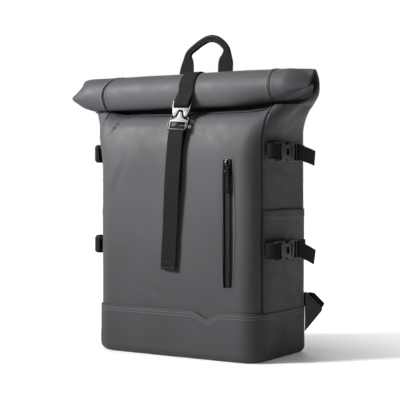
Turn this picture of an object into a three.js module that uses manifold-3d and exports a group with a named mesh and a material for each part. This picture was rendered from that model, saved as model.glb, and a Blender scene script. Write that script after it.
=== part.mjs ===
// A rolltop backpack of coated fabric, standing upright with its top rolled forward and strapped down.
// Millimetres, +Z up, front at -Y, origin at the middle of the base. Run by anything that imports
// three and manifold-3d; the default export is a group of named meshes, one for each real piece.
import * as THREE from "three";
import { mergeVertices } from "three/addons/utils/BufferGeometryUtils.js";
import Module from "manifold-3d";

const wasm = await Module();
wasm.setup();

// Body
const bodyWidth = 302;
const bodyDepth = 170;
const cornerRadius = 30;
const wall = 1.6; // coated fabric, all panels
const pieceGap = 0.4; // between sewn pieces and between touching layers
const hemDepth = 22; // how far the panels run down inside the base
const shoulderHeight = 290; // where the front and back start to lean in
const frontCrown = 3;
const backCrown = 2;
const sideCrown = 1.5;

// Base
const baseHeight = 75; // to the seam
const baseWall = 2;
const floorWall = 3;
const baseFillet = 12;
const notchDepth = 12;
const notchHalf = 25;
const notchInset = 83.5; // from the side of the body to the notch's middle
const notchX = bodyWidth / 2 - notchInset;

// Roll
const rollRadius = 30;
const rollSetback = 43; // from the front of the body back to its middle
const rollRise = 127; // from the shoulder up to its middle
const rollY = rollSetback - bodyDepth / 2;
const rollZ = shoulderHeight + rollRise;
const rollTurns = 1.67;
const layerGap = 0.8; // between turns
const flatGap = 0.6; // between the front and back of the flattened tube
const stepsPerTurn = 12;
const pinchLength = 41; // of each end that draws in
const pinchLeft = 13; // how much its radius shrinks at the left end
const pinchRight = 5;

// Zip
const zipInset = 49; // from the side of the body to the zip's middle line
const zipX = bodyWidth / 2 - zipInset;
const zipTop = shoulderHeight + 19;
const zipBottom = baseHeight + 37;
const zipSlotWidth = 17;
const tapeWidth = 28;
const tapeThickness = 1;
const chainWidth = 6;
const chainHeight = 1.3;
const sliderLength = 12;
const sliderWidth = 11;
const sliderThickness = 2.4;
const pullLength = 46;
const pullWidth = 12;
const pullThickness = 1.6;
const pivotHeight = 2.4; // of the pull's pin above the slider

// Side pockets
const pocketTop = baseHeight + 156;
const pocketWall = 1.6;
const pocketBulge = 2.5;

// Webbing
const webThickness = 1.5;
const strapWidth = 28; // over the roll
const sideWebWidth = 24;

// Straps over the roll
const strapBackX = 3; // where it is sewn to the back
const strapTopX = 16; // where it crosses the roll
const strapEndX = -3; // at the free end
const patchBottomZ = shoulderHeight - 32; // sewn patch on the front
const patchTopZ = shoulderHeight - 4;
const tailEndZ = baseHeight + 61;
const tailStandoff = 3;
const strapLeanY = -bodyDepth / 2 - 5; // the strap's line in front of the panel
const strapLeanZ = shoulderHeight + 50;

// Metal buckle
const metalThickness = 3.2;
const metalWidth = 36;
const metalZ = rollZ - 30; // middle of the hook
const hookTop = 15;
const hookBottom = -12;
const frameTop = -14.5;
const frameBottom = -34;
const metalBar = 3.4;

// Side buckles
const upperStrapZ = shoulderHeight + 30;
const lowerStrapZ = baseHeight + 95;
const socketWidth = 30;
const buckleThickness = 9;
const ladderThickness = 5;
const plasticBar = 3;
const buckleStandoff = 19; // the straps are slack, so the buckles stand off the sides
const sideBuckleX = bodyWidth / 2 + buckleStandoff;
const strapSeam = 23; // from the front or back of the body to where a side strap is sewn
const socketStart = strapSeam + 4 - bodyDepth / 2; // Y of the end with the sewn loop
const socketLength = 40;
const socketEnd = socketStart + socketLength;
const ladderLength = 30;
const ladderEnd = socketEnd + ladderLength;
const sideTailY = bodyDepth / 2 - strapSeam - 4; // free end
const sideTailX = sideBuckleX + 5;
const upperDroop = 9;
const lowerDroop = 16;

// Handle
const handleThickness = 2.4;
const handleWidth = 28;
const handleSpread = 38; // of each leg from the middle
const handleRise = 82; // from the top of the sewn feet to the grip
const gripThickness = 8.5; // the webbing folded in half
const handleY = rollY + 54;
const handleFootZ = rollZ + 8;

// Back and shoulder straps
const backPadWidth = 236;
const backPadBottom = baseHeight + 17;
const backPadTop = shoulderHeight - 10;
const backPadThickness = 9;
const shoulderPadWidth = 62;
const shoulderPadThickness = 11;
const shoulderTopX = 36; // middle of the sewn end
const shoulderSpread = 42; // how much further out the tip is
const shoulderStandoff = 42; // of the pad's middle from the back of the body
const shoulderTopZ = shoulderHeight + 76;
const shoulderTipZ = baseHeight + 71;
const shoulderWebWidth = 27;
const lockWidth = 35;
const lockHeight = 27;
const wingThickness = 2;
const wingReach = 36;
const wingHeight = 64;
const wingBottom = baseHeight - 41;
const wingOut = [0.45, 0.893, 0]; // the way the wing points, away from the back seam

// Colours
const coatedGrey = new THREE.MeshStandardMaterial({ color: 0x55565a, roughness: 0.55, metalness: 0 });
const webbingBlack = new THREE.MeshStandardMaterial({ color: 0x151515, roughness: 0.85, metalness: 0 });
const plasticBlack = new THREE.MeshStandardMaterial({ color: 0x101010, roughness: 0.45, metalness: 0 });
const buckleMetal = new THREE.MeshStandardMaterial({ color: 0xb9babd, roughness: 0.3, metalness: 1 });
const zipBlack = new THREE.MeshStandardMaterial({ color: 0x1b1b1d, roughness: 0.5, metalness: 0 });
const zipMetal = new THREE.MeshStandardMaterial({ color: 0x3a3a3d, roughness: 0.35, metalness: 0.9 });
const padBlack = new THREE.MeshStandardMaterial({ color: 0x1a1a1b, roughness: 0.9, metalness: 0 });

const group = new THREE.Group();

function addPiece(name, geometry, material) {
  const mesh = new THREE.Mesh(geometry, material);
  mesh.name = name;
  group.add(mesh);
  return mesh;
}

const span = (a, b) => Math.hypot(a[0] - b[0], a[1] - b[1], a[2] - b[2]);

// Geometry from a list of [x, y, z] and a list of faces with three or four corners. A face with four
// is split along its shorter diagonal.
function fromFaces(points, faces) {
  const index = [];
  for (const [a, b, c, d] of faces) {
    if (d === undefined) index.push(a, b, c);
    else if (span(points[a], points[c]) <= span(points[b], points[d])) index.push(a, b, c, a, c, d);
    else index.push(a, b, d, b, c, d);
  }
  const g = new THREE.BufferGeometry();
  g.setAttribute("position", new THREE.Float32BufferAttribute(points.flat(), 3));
  g.setIndex(index);
  return g;
}

function toSolid(geometry) {
  const plain = new THREE.BufferGeometry();
  const source = geometry.index ? geometry.toNonIndexed() : geometry;
  plain.setAttribute("position", source.getAttribute("position"));
  const merged = mergeVertices(plain, 1e-4);
  return new wasm.Manifold(
    new wasm.Mesh({
      numProp: 3,
      vertProperties: merged.attributes.position.array,
      triVerts: new Uint32Array(merged.index.array),
    }),
  );
}

function toGeometry(solid) {
  const m = solid.getMesh();
  const g = new THREE.BufferGeometry();
  const positions = new Float32Array(m.numVert * 3);
  for (let i = 0; i < m.numVert; i++) {
    for (let k = 0; k < 3; k++) positions[3 * i + k] = m.vertProperties[i * m.numProp + k];
  }
  g.setAttribute("position", new THREE.BufferAttribute(positions, 3));
  g.setIndex(new THREE.BufferAttribute(new Uint32Array(m.triVerts), 1));
  return g;
}

function joined(geometries) {
  return toGeometry(geometries.map(toSolid).reduce((a, b) => a.add(b)));
}

function cut(geometry, cutters) {
  return toGeometry(cutters.map(toSolid).reduce((a, b) => a.subtract(b), toSolid(geometry)));
}

function mirrored(geometry) {
  const g = toGeometry(toSolid(geometry));
  g.scale(-1, 1, 1);
  const i = g.index.array.slice();
  for (let k = 0; k < i.length; k += 3) [i[k + 1], i[k + 2]] = [i[k + 2], i[k + 1]];
  g.setIndex(new THREE.BufferAttribute(i, 1));
  return g;
}

// Rings of equal length, joined and capped at both ends.
function loft(rings) {
  const n = rings[0].length;
  const points = rings.flat();
  const faces = [];
  for (let r = 0; r + 1 < rings.length; r++) {
    for (let i = 0; i < n; i++) {
      const a = r * n + i;
      const b = r * n + ((i + 1) % n);
      faces.push([a, b, b + n, a + n]);
    }
  }
  const last = (rings.length - 1) * n;
  for (let i = 1; i + 1 < n; i++) {
    faces.push([0, i + 1, i]);
    faces.push([last, last + i, last + i + 1]);
  }
  return fromFaces(points, faces);
}

// The fabric tube. Every section has the same girth, so the tube widens as it flattens.
const quarterGirth = bodyWidth / 2 + bodyDepth / 2 - (2 - Math.PI / 2) * cornerRadius;
const seamTurn = 0.75; // share of the corner that belongs to the front or back panel
const frontSeam = bodyWidth / 2 - cornerRadius + (seamTurn * Math.PI * cornerRadius) / 2;
const backSeam = 2 * quarterGirth - frontSeam;
const flatHalf = (flatGap + wall) / 2; // middle of the wall to the middle of the flattened tube
const tubeThickness = 2 * flatHalf + wall;
const rollPitch = tubeThickness + layerGap;
const rollMid = rollRadius - tubeThickness / 2; // radius of the tube's middle where the roll begins
const pinchStart = quarterGirth - pinchLength;

// A section runs from a front point to a back point, both [y, z]. crown swells its faces, round is 0
// for the body's corners and 1 for fully round sides, and pinch is the share of the roll's pinched ends.
function makeSection(front, back, crown, round, pinch) {
  const dy = back[0] - front[0];
  const dz = back[1] - front[1];
  const length = Math.hypot(dy, dz);
  const d = length / 2;
  const r = Math.min(d, cornerRadius + (d - cornerRadius) * round);
  return {
    y: (front[0] + back[0]) / 2,
    z: (front[1] + back[1]) / 2,
    along: [dy / length, dz / length],
    d,
    r,
    w: quarterGirth - d + (2 - Math.PI / 2) * r,
    crown,
    pinch,
  };
}

// The point at a distance s round the section from the middle of the front, positive towards +X.
function sectionPoint(section, distance) {
  const { w, d, r, crown } = section;
  const s = distance > 2 * quarterGirth ? distance - 4 * quarterGirth : distance;
  const side = s < 0 ? -1 : 1;
  const a = Math.abs(s);
  const flat = w - r;
  const arc = (Math.PI * r) / 2;
  const straight = 2 * (d - r);
  let x;
  let depth;
  if (a <= flat) {
    x = a;
    depth = -d;
  } else if (a <= flat + arc) {
    const t = (a - flat) / r;
    x = flat + r * Math.sin(t);
    depth = -(d - r) - r * Math.cos(t);
  } else if (a <= flat + arc + straight) {
    x = w;
    depth = -(d - r) + (a - flat - arc);
  } else if (a <= flat + 2 * arc + straight) {
    const t = (a - flat - arc - straight) / r;
    x = flat + r * Math.cos(t);
    depth = d - r + r * Math.sin(t);
  } else {
    x = 2 * (flat + arc) + straight - a;
    depth = d;
  }
  const across = 1 - Math.min(1, (x / w) ** 2);
  const deep = 1 - Math.min(1, (depth / d) ** 2);
  depth += (depth < 0 ? -frontCrown : backCrown) * crown * across * Math.min(1, Math.abs(depth / d)) ** 4;
  x += sideCrown * crown * deep;
  const y = section.y + depth * section.along[0];
  const z = section.z + depth * section.along[1];
  const out = Math.max(0, (x - pinchStart) / (quarterGirth - pinchStart));
  const inward = section.pinch * (side < 0 ? pinchLeft : pinchRight) * out ** 2;
  const keep = 1 - inward / Math.hypot(y - rollY, z - rollZ);
  return [side * x, rollY + (y - rollY) * keep, rollZ + (z - rollZ) * keep];
}

// Fullness of the faces by height: share of the shoulder height, share of the crown.
const crownTable = [
  { height: 0, crown: 0.35 },
  { height: 0.35, crown: 1 },
  { height: 0.75, crown: 0.9 },
  { height: 1, crown: 0.6 },
];

function crownAt(share) {
  const after = crownTable.findIndex((row) => row.height >= share);
  if (after < 0) return crownTable.at(-1).crown;
  if (after === 0) return crownTable[0].crown;
  const low = crownTable[after - 1];
  const high = crownTable[after];
  const t = (share - low.height) / (high.height - low.height);
  const smooth = t * t * (3 - 2 * t);
  return low.crown + (high.crown - low.crown) * smooth;
}

function bodySection(z) {
  return makeSection([-bodyDepth / 2, z], [bodyDepth / 2, z], crownAt(z / shoulderHeight), 0, 0);
}

function bezier(p, t) {
  const u = 1 - t;
  const k = [u * u * u, 3 * u * u * t, 3 * u * t * t, t * t * t];
  return [0, 1].map((i) => p.reduce((sum, q, j) => sum + k[j] * q[i], 0));
}

function polar(radius, degrees) {
  const a = (degrees * Math.PI) / 180;
  return [rollY + radius * Math.cos(a), rollZ + radius * Math.sin(a)];
}

// Radius of the tube's middle after the roll has turned by so many degrees.
const turnedRadius = (degrees) => rollMid - (rollPitch * degrees) / 360;
const stepDegrees = 360 / stepsPerTurn;
const seatSteps = 4; // steps of the roll's underside that the front panel follows
const slopeSteps = 5;
const underRoll = (degrees) => rollMid - flatHalf - (rollPitch * degrees) / 360;

// The front and back lines of the shoulder, from the body to the neck behind the roll.
const frontEnd = polar(underRoll(-seatSteps * stepDegrees), -seatSteps * stepDegrees);
const frontLine = [
  [-bodyDepth / 2, shoulderHeight],
  [-bodyDepth / 2, shoulderHeight + 0.32 * rollRise],
  [frontEnd[0] - 0.17 * bodyDepth, shoulderHeight + 0.56 * rollRise],
  frontEnd,
];
const backLine = [
  [bodyDepth / 2, shoulderHeight],
  [bodyDepth / 2, shoulderHeight + 0.8 * rollRise],
  [0.12 * bodyDepth, shoulderHeight + 0.72 * rollRise],
  polar(rollMid + flatHalf, 0),
];
const neckSteps = slopeSteps + seatSteps;

function shoulderSection(k) {
  const share = k / neckSteps;
  const crown = crownAt(1) * (1 - share);
  const back = bezier(backLine, share ** 0.9);
  const round = Math.min(1, Math.max(0, (share - 0.3) / 0.5));
  const pinch = Math.max(0, 1 - (neckSteps - k) / (seatSteps + 1));
  if (k < slopeSteps) return makeSection(bezier(frontLine, k / slopeSteps), back, crown, round, pinch);
  const degrees = (k - neckSteps) * stepDegrees;
  return makeSection(polar(underRoll(degrees), degrees), back, crown, round, pinch);
}

function rollSection(k) {
  const degrees = k * stepDegrees;
  const radius = turnedRadius(degrees);
  return makeSection(polar(radius - flatHalf, degrees), polar(radius + flatHalf, degrees), 0, 1, 1);
}

const hemZ = baseHeight - hemDepth;
const bodyStops = [0, 0.3, 0.62, 1]; // shares of the way from the hem to the shoulder
const stations = [
  ...bodyStops.map((share) => bodySection(hemZ + share * (shoulderHeight - hemZ))),
  ...Array.from({ length: neckSteps }, (_, i) => shoulderSection(i + 1)),
  ...Array.from({ length: Math.round(rollTurns * stepsPerTurn) }, (_, i) => rollSection(i + 1)),
];

const neckStation = bodyStops.length - 1 + neckSteps;

const subtract = (a, b) => a.map((v, i) => v - b[i]);
const unit = (a) => a.map((v) => v / Math.hypot(...a));
const cross = (a, b) => [
  a[1] * b[2] - a[2] * b[1],
  a[2] * b[0] - a[0] * b[2],
  a[0] * b[1] - a[1] * b[0],
];
const moved = (p, n, by) => p.map((v, i) => v + n[i] * by);

// Point and outward normal of the tube at station k and distance s round it.
function onTube(sections, k, s) {
  const tiny = 0.01;
  const here = sectionPoint(sections[k], s);
  const round = subtract(sectionPoint(sections[k], s + tiny), sectionPoint(sections[k], s - tiny));
  const low = sectionPoint(sections[Math.max(0, k - 1)], s);
  const high = sectionPoint(sections[Math.min(sections.length - 1, k + 1)], s);
  return { point: here, normal: unit(cross(unit(round), unit(subtract(high, low)))) };
}

const mix = (a, b, t) => a.map((v, i) => v + (b[i] - v) * t);

// Point and outward normal between two stations.
function between(k, s) {
  const low = Math.min(Math.floor(k), stations.length - 2);
  const a = onTube(stations, low, s);
  const b = onTube(stations, low + 1, s);
  return { point: mix(a.point, b.point, k - low), normal: unit(mix(a.normal, b.normal, k - low)) };
}

// The station at which the line at distance s round the tube reaches the height z.
function stationAt(z, s) {
  let low = 0;
  let high = Math.abs(s) < quarterGirth ? slopeSteps + bodyStops.length - 1 : neckStation;
  for (let i = 0; i < 30; i++) {
    const middle = (low + high) / 2;
    if (between(middle, s).point[2] < z) low = middle;
    else high = middle;
  }
  return low;
}

const atHeight = (z, s) => between(stationAt(z, s), s);

// A sheet over a grid. at gives point and normal; inner and outer give its faces' distances from them.
function sheet(rows, columns, at, inner, outer) {
  const points = [];
  for (const face of [outer, inner]) {
    for (let k = 0; k < rows; k++) {
      for (let j = 0; j < columns; j++) {
        const { point, normal } = at(k, j);
        points.push(moved(point, normal, face(k, j)));
      }
    }
  }
  const size = rows * columns;
  const id = (k, j) => k * columns + j;
  const faces = [];
  for (let k = 0; k + 1 < rows; k++) {
    for (let j = 0; j + 1 < columns; j++) {
      faces.push([id(k, j), id(k, j + 1), id(k + 1, j + 1), id(k + 1, j)]);
      faces.push([id(k, j), id(k + 1, j), id(k + 1, j + 1), id(k, j + 1)].map((v) => v + size));
    }
  }
  const rim = [];
  for (let j = 0; j < columns - 1; j++) rim.push(id(0, j));
  for (let k = 0; k < rows - 1; k++) rim.push(id(k, columns - 1));
  for (let j = columns - 1; j > 0; j--) rim.push(id(rows - 1, j));
  for (let k = rows - 1; k > 0; k--) rim.push(id(k, 0));
  rim.forEach((a, i) => {
    const b = rim[(i + 1) % rim.length];
    faces.push([a, a + size, b + size, b]);
  });
  return fromFaces(points, faces);
}

function panel(stops) {
  const at = (k, j) => onTube(stations, k, stops[j]);
  return sheet(stations.length, stops.length, at, () => -wall / 2, () => wall / 2);
}

function patch(heights, stops, inner, outer) {
  const at = (k, j) => atHeight(heights[k], stops[j]);
  return sheet(heights.length, stops.length, at, inner, outer);
}

function bothWays(half) {
  return [...half.slice(1).map((s) => -s).reverse(), ...half];
}

const flatFront = bodyWidth / 2 - cornerRadius;
const cornerLength = (Math.PI * cornerRadius) / 2;
const panelEdge = frontSeam - pieceGap / 2;
const faceStops = bothWays([
  0,
  flatFront / 2,
  flatFront,
  flatFront + cornerLength * 0.25,
  flatFront + cornerLength * 0.5,
  panelEdge,
]);
const foldArc = (Math.PI * flatHalf) / 2;
const gussetEdge = quarterGirth - frontSeam - pieceGap / 2;
const gussetShares = [0.16, 0.33, 0.5, 0.66, 0.83, 1];
const gussetStops = bothWays([0, foldArc, ...gussetShares.map((t) => t * gussetEdge)]);

// A box given by its size and middle.
function box(size, centre) {
  const g = new THREE.BoxGeometry(...size);
  g.translate(...centre);
  return g;
}

function rectangle(width, height, x = 0, z = 0, path = new THREE.Path()) {
  path.moveTo(x - width / 2, z - height / 2);
  path.lineTo(x + width / 2, z - height / 2);
  path.lineTo(x + width / 2, z + height / 2);
  path.lineTo(x - width / 2, z + height / 2);
  path.closePath();
  return path;
}

// A flat outline in X and Z, extruded along Y about y.
function plateXZ(shape, thickness, y = 0, curveSegments = 3) {
  const g = new THREE.ExtrudeGeometry(shape, { depth: thickness, bevelEnabled: false, curveSegments });
  g.rotateX(Math.PI / 2);
  g.translate(0, y + thickness / 2, 0);
  return g;
}

function roundedRectangle(width, height, radius, x = 0, z = 0, path = new THREE.Shape()) {
  const w = width / 2 - radius;
  const h = height / 2 - radius;
  path.absarc(x + w, z - h, radius, -Math.PI / 2, 0, false);
  path.absarc(x + w, z + h, radius, 0, Math.PI / 2, false);
  path.absarc(x - w, z + h, radius, Math.PI / 2, Math.PI, false);
  path.absarc(x - w, z - h, radius, Math.PI, 1.5 * Math.PI, false);
  path.closePath();
  return path;
}

// A band along points, with its thickness along normals; its width is across both.
function band(points, normals, widths, thicknesses) {
  const last = points.length - 1;
  return loft(
    points.map((p, i) => {
      const along = unit(subtract(points[Math.min(last, i + 1)], points[Math.max(0, i - 1)]));
      const across = unit(cross(along, normals[i]));
      const out = unit(cross(across, along));
      const w = widths[i] / 2;
      const t = thicknesses[i] / 2;
      return [
        [w, t],
        [w, -t],
        [-w, -t],
        [-w, t],
      ].map(([a, b]) => moved(moved(p, across, a), out, b));
    }),
  );
}

// Webbing of one width, lying flat across a direction.
function webbing(points, across, width, thickness = webThickness) {
  const last = points.length - 1;
  const normals = points.map((p, i) => {
    const along = subtract(points[Math.min(last, i + 1)], points[Math.max(0, i - 1)]);
    return unit(cross(across, along));
  });
  return band(points, normals, points.map(() => width), points.map(() => thickness));
}

// Points [a, b] on an arc round a middle, angles in degrees.
function arc(a, b, radius, from, to, steps) {
  return Array.from({ length: steps + 1 }, (_, i) => {
    const angle = ((from + ((to - from) * i) / steps) * Math.PI) / 180;
    return [a + radius * Math.cos(angle), b + radius * Math.sin(angle)];
  });
}

// Four tube panels, with the zip's slot cut in the front one.
function buildPanels() {
  const slot = plateXZ(
    roundedRectangle(zipSlotWidth, zipTop - zipBottom, zipSlotWidth / 3, zipX, (zipTop + zipBottom) / 2),
    24,
    -bodyDepth / 2,
  );
  addPiece("front_panel", cut(panel(faceStops), [slot]), coatedGrey);
  addPiece("back_panel", panel(faceStops.map((s) => 2 * quarterGirth + s)), coatedGrey);
  addPiece("side_panel_right", panel(gussetStops.map((s) => quarterGirth + s)), coatedGrey);
  addPiece("side_panel_left", panel(gussetStops.map((s) => -quarterGirth + s)), coatedGrey);
}

// Base: a tub with rounded lower edges, its rim dipping in a notch at the front.
function buildBase() {
  const notch = [notchX - notchHalf, notchX, notchX + notchHalf];
  const front = [-0.8 * flatFront, -0.17 * flatFront, ...notch, flatFront];
  const corner = [0.25, 0.5, 0.75, 1].map((t) => flatFront + t * cornerLength);
  const side = [quarterGirth];
  const right = [...corner, ...side];
  const backRight = [...right.slice(0, -1)].reverse().map((s) => 2 * quarterGirth - s);
  const back = [2 * quarterGirth - flatFront, 2 * quarterGirth];
  const rightHalf = [...right, ...backRight, ...back];
  const leftHalf = [...right, ...backRight, back[0]].map((s) => -s).reverse();
  const stops = [-flatFront, ...front, ...rightHalf, ...leftHalf];
  const inside = wall / 2 + pieceGap + 0.3;
  const outside = inside + baseWall;
  const rim = (s) => baseHeight - notchDepth * Math.max(0, 1 - Math.abs(s - notchX) / notchHalf);
  const ring = (height, offset) =>
    stops.map((s) => {
      const z = height(s);
      const p = sectionPoint(bodySection(Math.max(z, hemZ)), s);
      const q = sectionPoint(bodySection(Math.max(z, hemZ)), s + 0.01);
      const along = unit(subtract(q, p));
      return [p[0] + along[1] * offset, p[1] - along[0] * offset, z];
    });
  const fillet = [0, 0.33, 0.67, 1].map((t) => {
    const angle = (t * Math.PI) / 2;
    const z = baseFillet * (1 - Math.cos(angle));
    return ring(() => z, outside - baseFillet * (1 - Math.sin(angle)));
  });
  const rings = [
    ...fillet,
    ring(() => hemZ, outside),
    ring(rim, outside),
    ring(rim, inside),
    ring(() => hemZ, inside),
    ring(() => baseFillet, inside),
    ring(() => floorWall, inside - baseFillet + floorWall),
  ];
  addPiece("base_panel", loft(rings), coatedGrey);
}

// How far across the side a line at distance s lies: 1 in the middle of the gusset, 0 at its seams.
const sideShare = (s) => Math.max(0, 1 - ((Math.abs(s) - quarterGirth) / gussetEdge) ** 2);

function buildPockets() {
  const heights = [0, 0.35, 0.7, 1].map((t) => baseHeight + pieceGap + t * (pocketTop - baseHeight));
  const inner = (stops) => (k, j) =>
    wall / 2 + pieceGap + pocketBulge * sideShare(stops[j]) * ((k + 0.6) / heights.length);
  for (const [name, middle] of [
    ["right", quarterGirth],
    ["left", -quarterGirth],
  ]) {
    const stops = bothWays([0, 0.3, 0.6, 0.82, 0.98].map((t) => t * gussetEdge)).map((s) => middle + s);
    const low = inner(stops);
    const piece = patch(heights, stops, low, (k, j) => low(k, j) + pocketWall);
    addPiece(`side_pocket_${name}`, piece, coatedGrey);
  }
}

// Zip: a tape behind the slot with a raised chain, a slider on it and a pull tab hanging from that.
function buildZip() {
  const tapeRows = [
    { z: zipBottom - 7, raised: 0 },
    { z: zipBottom + 0.5, raised: 0 },
    { z: zipBottom + 1.5, raised: 1 },
    ...[0.25, 0.55, 0.9].map((t) => ({ z: zipBottom + t * (zipTop - zipBottom), raised: 1 })),
    { z: zipTop - 1.5, raised: 1 },
    { z: zipTop - 0.5, raised: 0 },
    { z: zipTop + 7, raised: 0 },
  ];
  const stops = [
    [-tapeWidth / 2, 0],
    [-chainWidth / 2 - 0.6, 0],
    [-chainWidth / 2, chainHeight],
    [chainWidth / 2, chainHeight],
    [chainWidth / 2 + 0.6, 0],
    [tapeWidth / 2, 0],
    [tapeWidth / 2, -tapeThickness],
    [-tapeWidth / 2, -tapeThickness],
  ];
  const level = -wall / 2 - pieceGap - 0.2;
  const rings = tapeRows.map(({ z, raised }) =>
    stops.map(([s, rise]) => {
      const { point, normal } = atHeight(z, zipX + s);
      return moved(point, normal, level + (rise > 0 ? rise * raised : rise));
    }),
  );
  addPiece("zip_tape", loft(rings), zipBlack);

  const sliderZ = zipTop - sliderLength / 2 - 1;
  const seat = atHeight(sliderZ, zipX);
  const chainTop = level + chainHeight;
  const faceY = seat.point[1] - chainTop - 0.45;
  const body = plateXZ(
    roundedRectangle(sliderWidth, sliderLength, 2.5),
    sliderThickness,
    -sliderThickness / 2,
  );
  const bridgeOutline = new THREE.Shape();
  bridgeOutline.moveTo(-4.6, 0.5);
  bridgeOutline.lineTo(-4.6, -2.6);
  bridgeOutline.lineTo(-2.4, -4.6);
  bridgeOutline.lineTo(2.4, -4.6);
  bridgeOutline.lineTo(4.6, -2.6);
  bridgeOutline.lineTo(4.6, 0.5);
  bridgeOutline.closePath();
  bridgeOutline.holes.push(roundedRectangle(4.4, 3.2, 1.2, 0, -pivotHeight + 0.4, new THREE.Path()));
  const bridge = new THREE.ExtrudeGeometry(bridgeOutline, {
    depth: 2.4,
    bevelEnabled: false,
    curveSegments: 2,
  });
  bridge.translate(0, 0, -1.2);
  bridge.rotateY(Math.PI / 2);
  bridge.translate(0, -sliderThickness, 0);
  const slider = joined([body, bridge]);
  slider.translate(zipX, faceY, sliderZ);
  addPiece("zip_slider", slider, zipMetal);

  const pullOutline = roundedRectangle(pullWidth, pullLength, 2, 0, -pullLength / 2 + 1);
  pullOutline.holes.push(roundedRectangle(3.8, 6.4, 0.6, 0, -2.4 - 0.9 - 0.6, new THREE.Path()));
  const pull = plateXZ(pullOutline, pullThickness);
  pull.translate(zipX, faceY - sliderThickness - pivotHeight + 0.4, sliderZ);
  addPiece("zip_pull", pull, zipMetal);
}

// The strap's middle line leans from its free end to the top of the roll.
const strapRun = rollZ + rollRadius - tailEndZ;
const strapX = (z) => strapEndX + ((strapTopX - strapEndX) * (z - tailEndZ)) / strapRun;

// The strap over the roll, its two-part metal buckle and the lower strap with the free end.
function buildRollStrap() {
  const lift = wall / 2 + pieceGap + webThickness / 2 + 0.5;
  const onBack = (k) => {
    const { point, normal } = onTube(stations, neckStation + k, 2 * quarterGirth);
    return moved(point, normal, lift);
  };
  const rollPath = [-5, -4, 0, 1, 2, 3, 4, 5, 6].map(onBack);
  const leave = rollPath.at(-1);
  const frontY = -bodyDepth / 2 - frontCrown * crownAt(1) - lift;
  const lean = (z) => strapLeanY + ((leave[1] - strapLeanY) * (z - strapLeanZ)) / (leave[2] - strapLeanZ);
  const turn = Math.hypot(metalBar, metalThickness) / 2 / Math.cos(Math.PI / 8) + 1.1 + webThickness / 2;
  const tilt = Math.atan2(leave[1] - strapLeanY, leave[2] - strapLeanZ);
  const onMetal = (up) => [lean(metalZ) + up * Math.sin(tilt), metalZ + up * Math.cos(tilt)];
  const [barY, barZ] = onMetal(hookTop - 6.5);
  const backX = (i) => strapBackX + (strapTopX - strapBackX) * Math.min(1, i / 6);
  const upper = [
    ...rollPath.map(([, y, z], i) => [backX(i), y, z]),
    ...arc(barY, barZ, turn, 180, 360, 4).map(([y, z]) => [strapX(z), y, z]),
    [strapX(barZ), barY + turn - 0.5, barZ + 9],
  ];
  addPiece("roll_strap", webbing(upper, [1, 0, 0], strapWidth), webbingBlack);

  const hook = new THREE.Shape();
  const half = metalWidth / 2;
  hook.moveTo(-half, hookTop - 9);
  hook.lineTo(-half + 4.5, hookBottom);
  hook.lineTo(-5.2, hookBottom);
  hook.lineTo(-5.2, hookBottom + 9);
  hook.lineTo(5.2, hookBottom + 9);
  hook.lineTo(5.2, hookBottom);
  hook.lineTo(half - 4.5, hookBottom);
  hook.lineTo(half, hookTop - 9);
  hook.lineTo(half, hookTop);
  hook.lineTo(half - 3, hookTop);
  hook.lineTo(half - 4, hookTop - 6.5 + metalBar / 2);
  hook.lineTo(-half + 4, hookTop - 6.5 + metalBar / 2);
  hook.lineTo(-half + 3, hookTop);
  hook.lineTo(-half, hookTop);
  hook.closePath();
  hook.holes.push(rectangle(metalWidth - 6, 4.6, 0, hookTop - 6.5 - metalBar / 2 - 2.3));
  const slant = Math.atan2(strapTopX - strapEndX, strapRun);
  const place = (g) => {
    g.rotateX(-tilt);
    g.rotateY(slant);
    g.translate(strapX(metalZ), lean(metalZ), metalZ);
    return g;
  };
  addPiece("buckle_hook", place(plateXZ(hook, metalThickness)), buckleMetal);

  const frameHeight = frameTop - frameBottom;
  const frame = roundedRectangle(metalWidth - 1, frameHeight, 2, 0, (frameTop + frameBottom) / 2);
  const slotHeight = frameHeight - metalBar - 5;
  frame.holes.push(rectangle(metalWidth - 6, slotHeight, 0, frameBottom + metalBar + slotHeight / 2));
  const tongue = box([9.4, metalThickness, 12], [0, 0, frameTop + 5]);
  const levers = [-1, 1].map((side) =>
    box([3.6, metalThickness, 7], [side * (half - 1.3), 0, frameTop + 1.5]),
  );
  addPiece("buckle_frame", place(joined([plateXZ(frame, metalThickness), tongue, ...levers])), buckleMetal);

  const backLoop = arc(...onMetal(frameBottom + metalBar / 2), turn, 0, 180, 4);
  const tailY = frontY - webThickness - tailStandoff;
  const lower = [
    [frontY - 0.5, patchBottomZ],
    [frontY - 0.5, patchTopZ],
    [frontY - 0.5, metalZ + frameBottom - 25],
    ...backLoop,
    [tailY - 1, patchTopZ + 10],
    [tailY - 1, patchBottomZ - 20],
    [tailY, tailEndZ],
  ].map(([y, z]) => [strapX(z), y, z]);
  addPiece("roll_strap_tail", webbing(lower, [1, 0, 0], strapWidth), webbingBlack);
}

// The side's outermost X at a distance y from front to back, near a height.
function sideX(y, z, reach = 1.5) {
  let most = 0;
  for (let s = frontSeam; s <= 2 * quarterGirth - frontSeam; s += 1) {
    const { point, normal } = atHeight(z, s);
    if (Math.abs(point[1] - y) < reach) most = Math.max(most, point[0] + normal[0] * (wall / 2));
  }
  return most;
}

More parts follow.
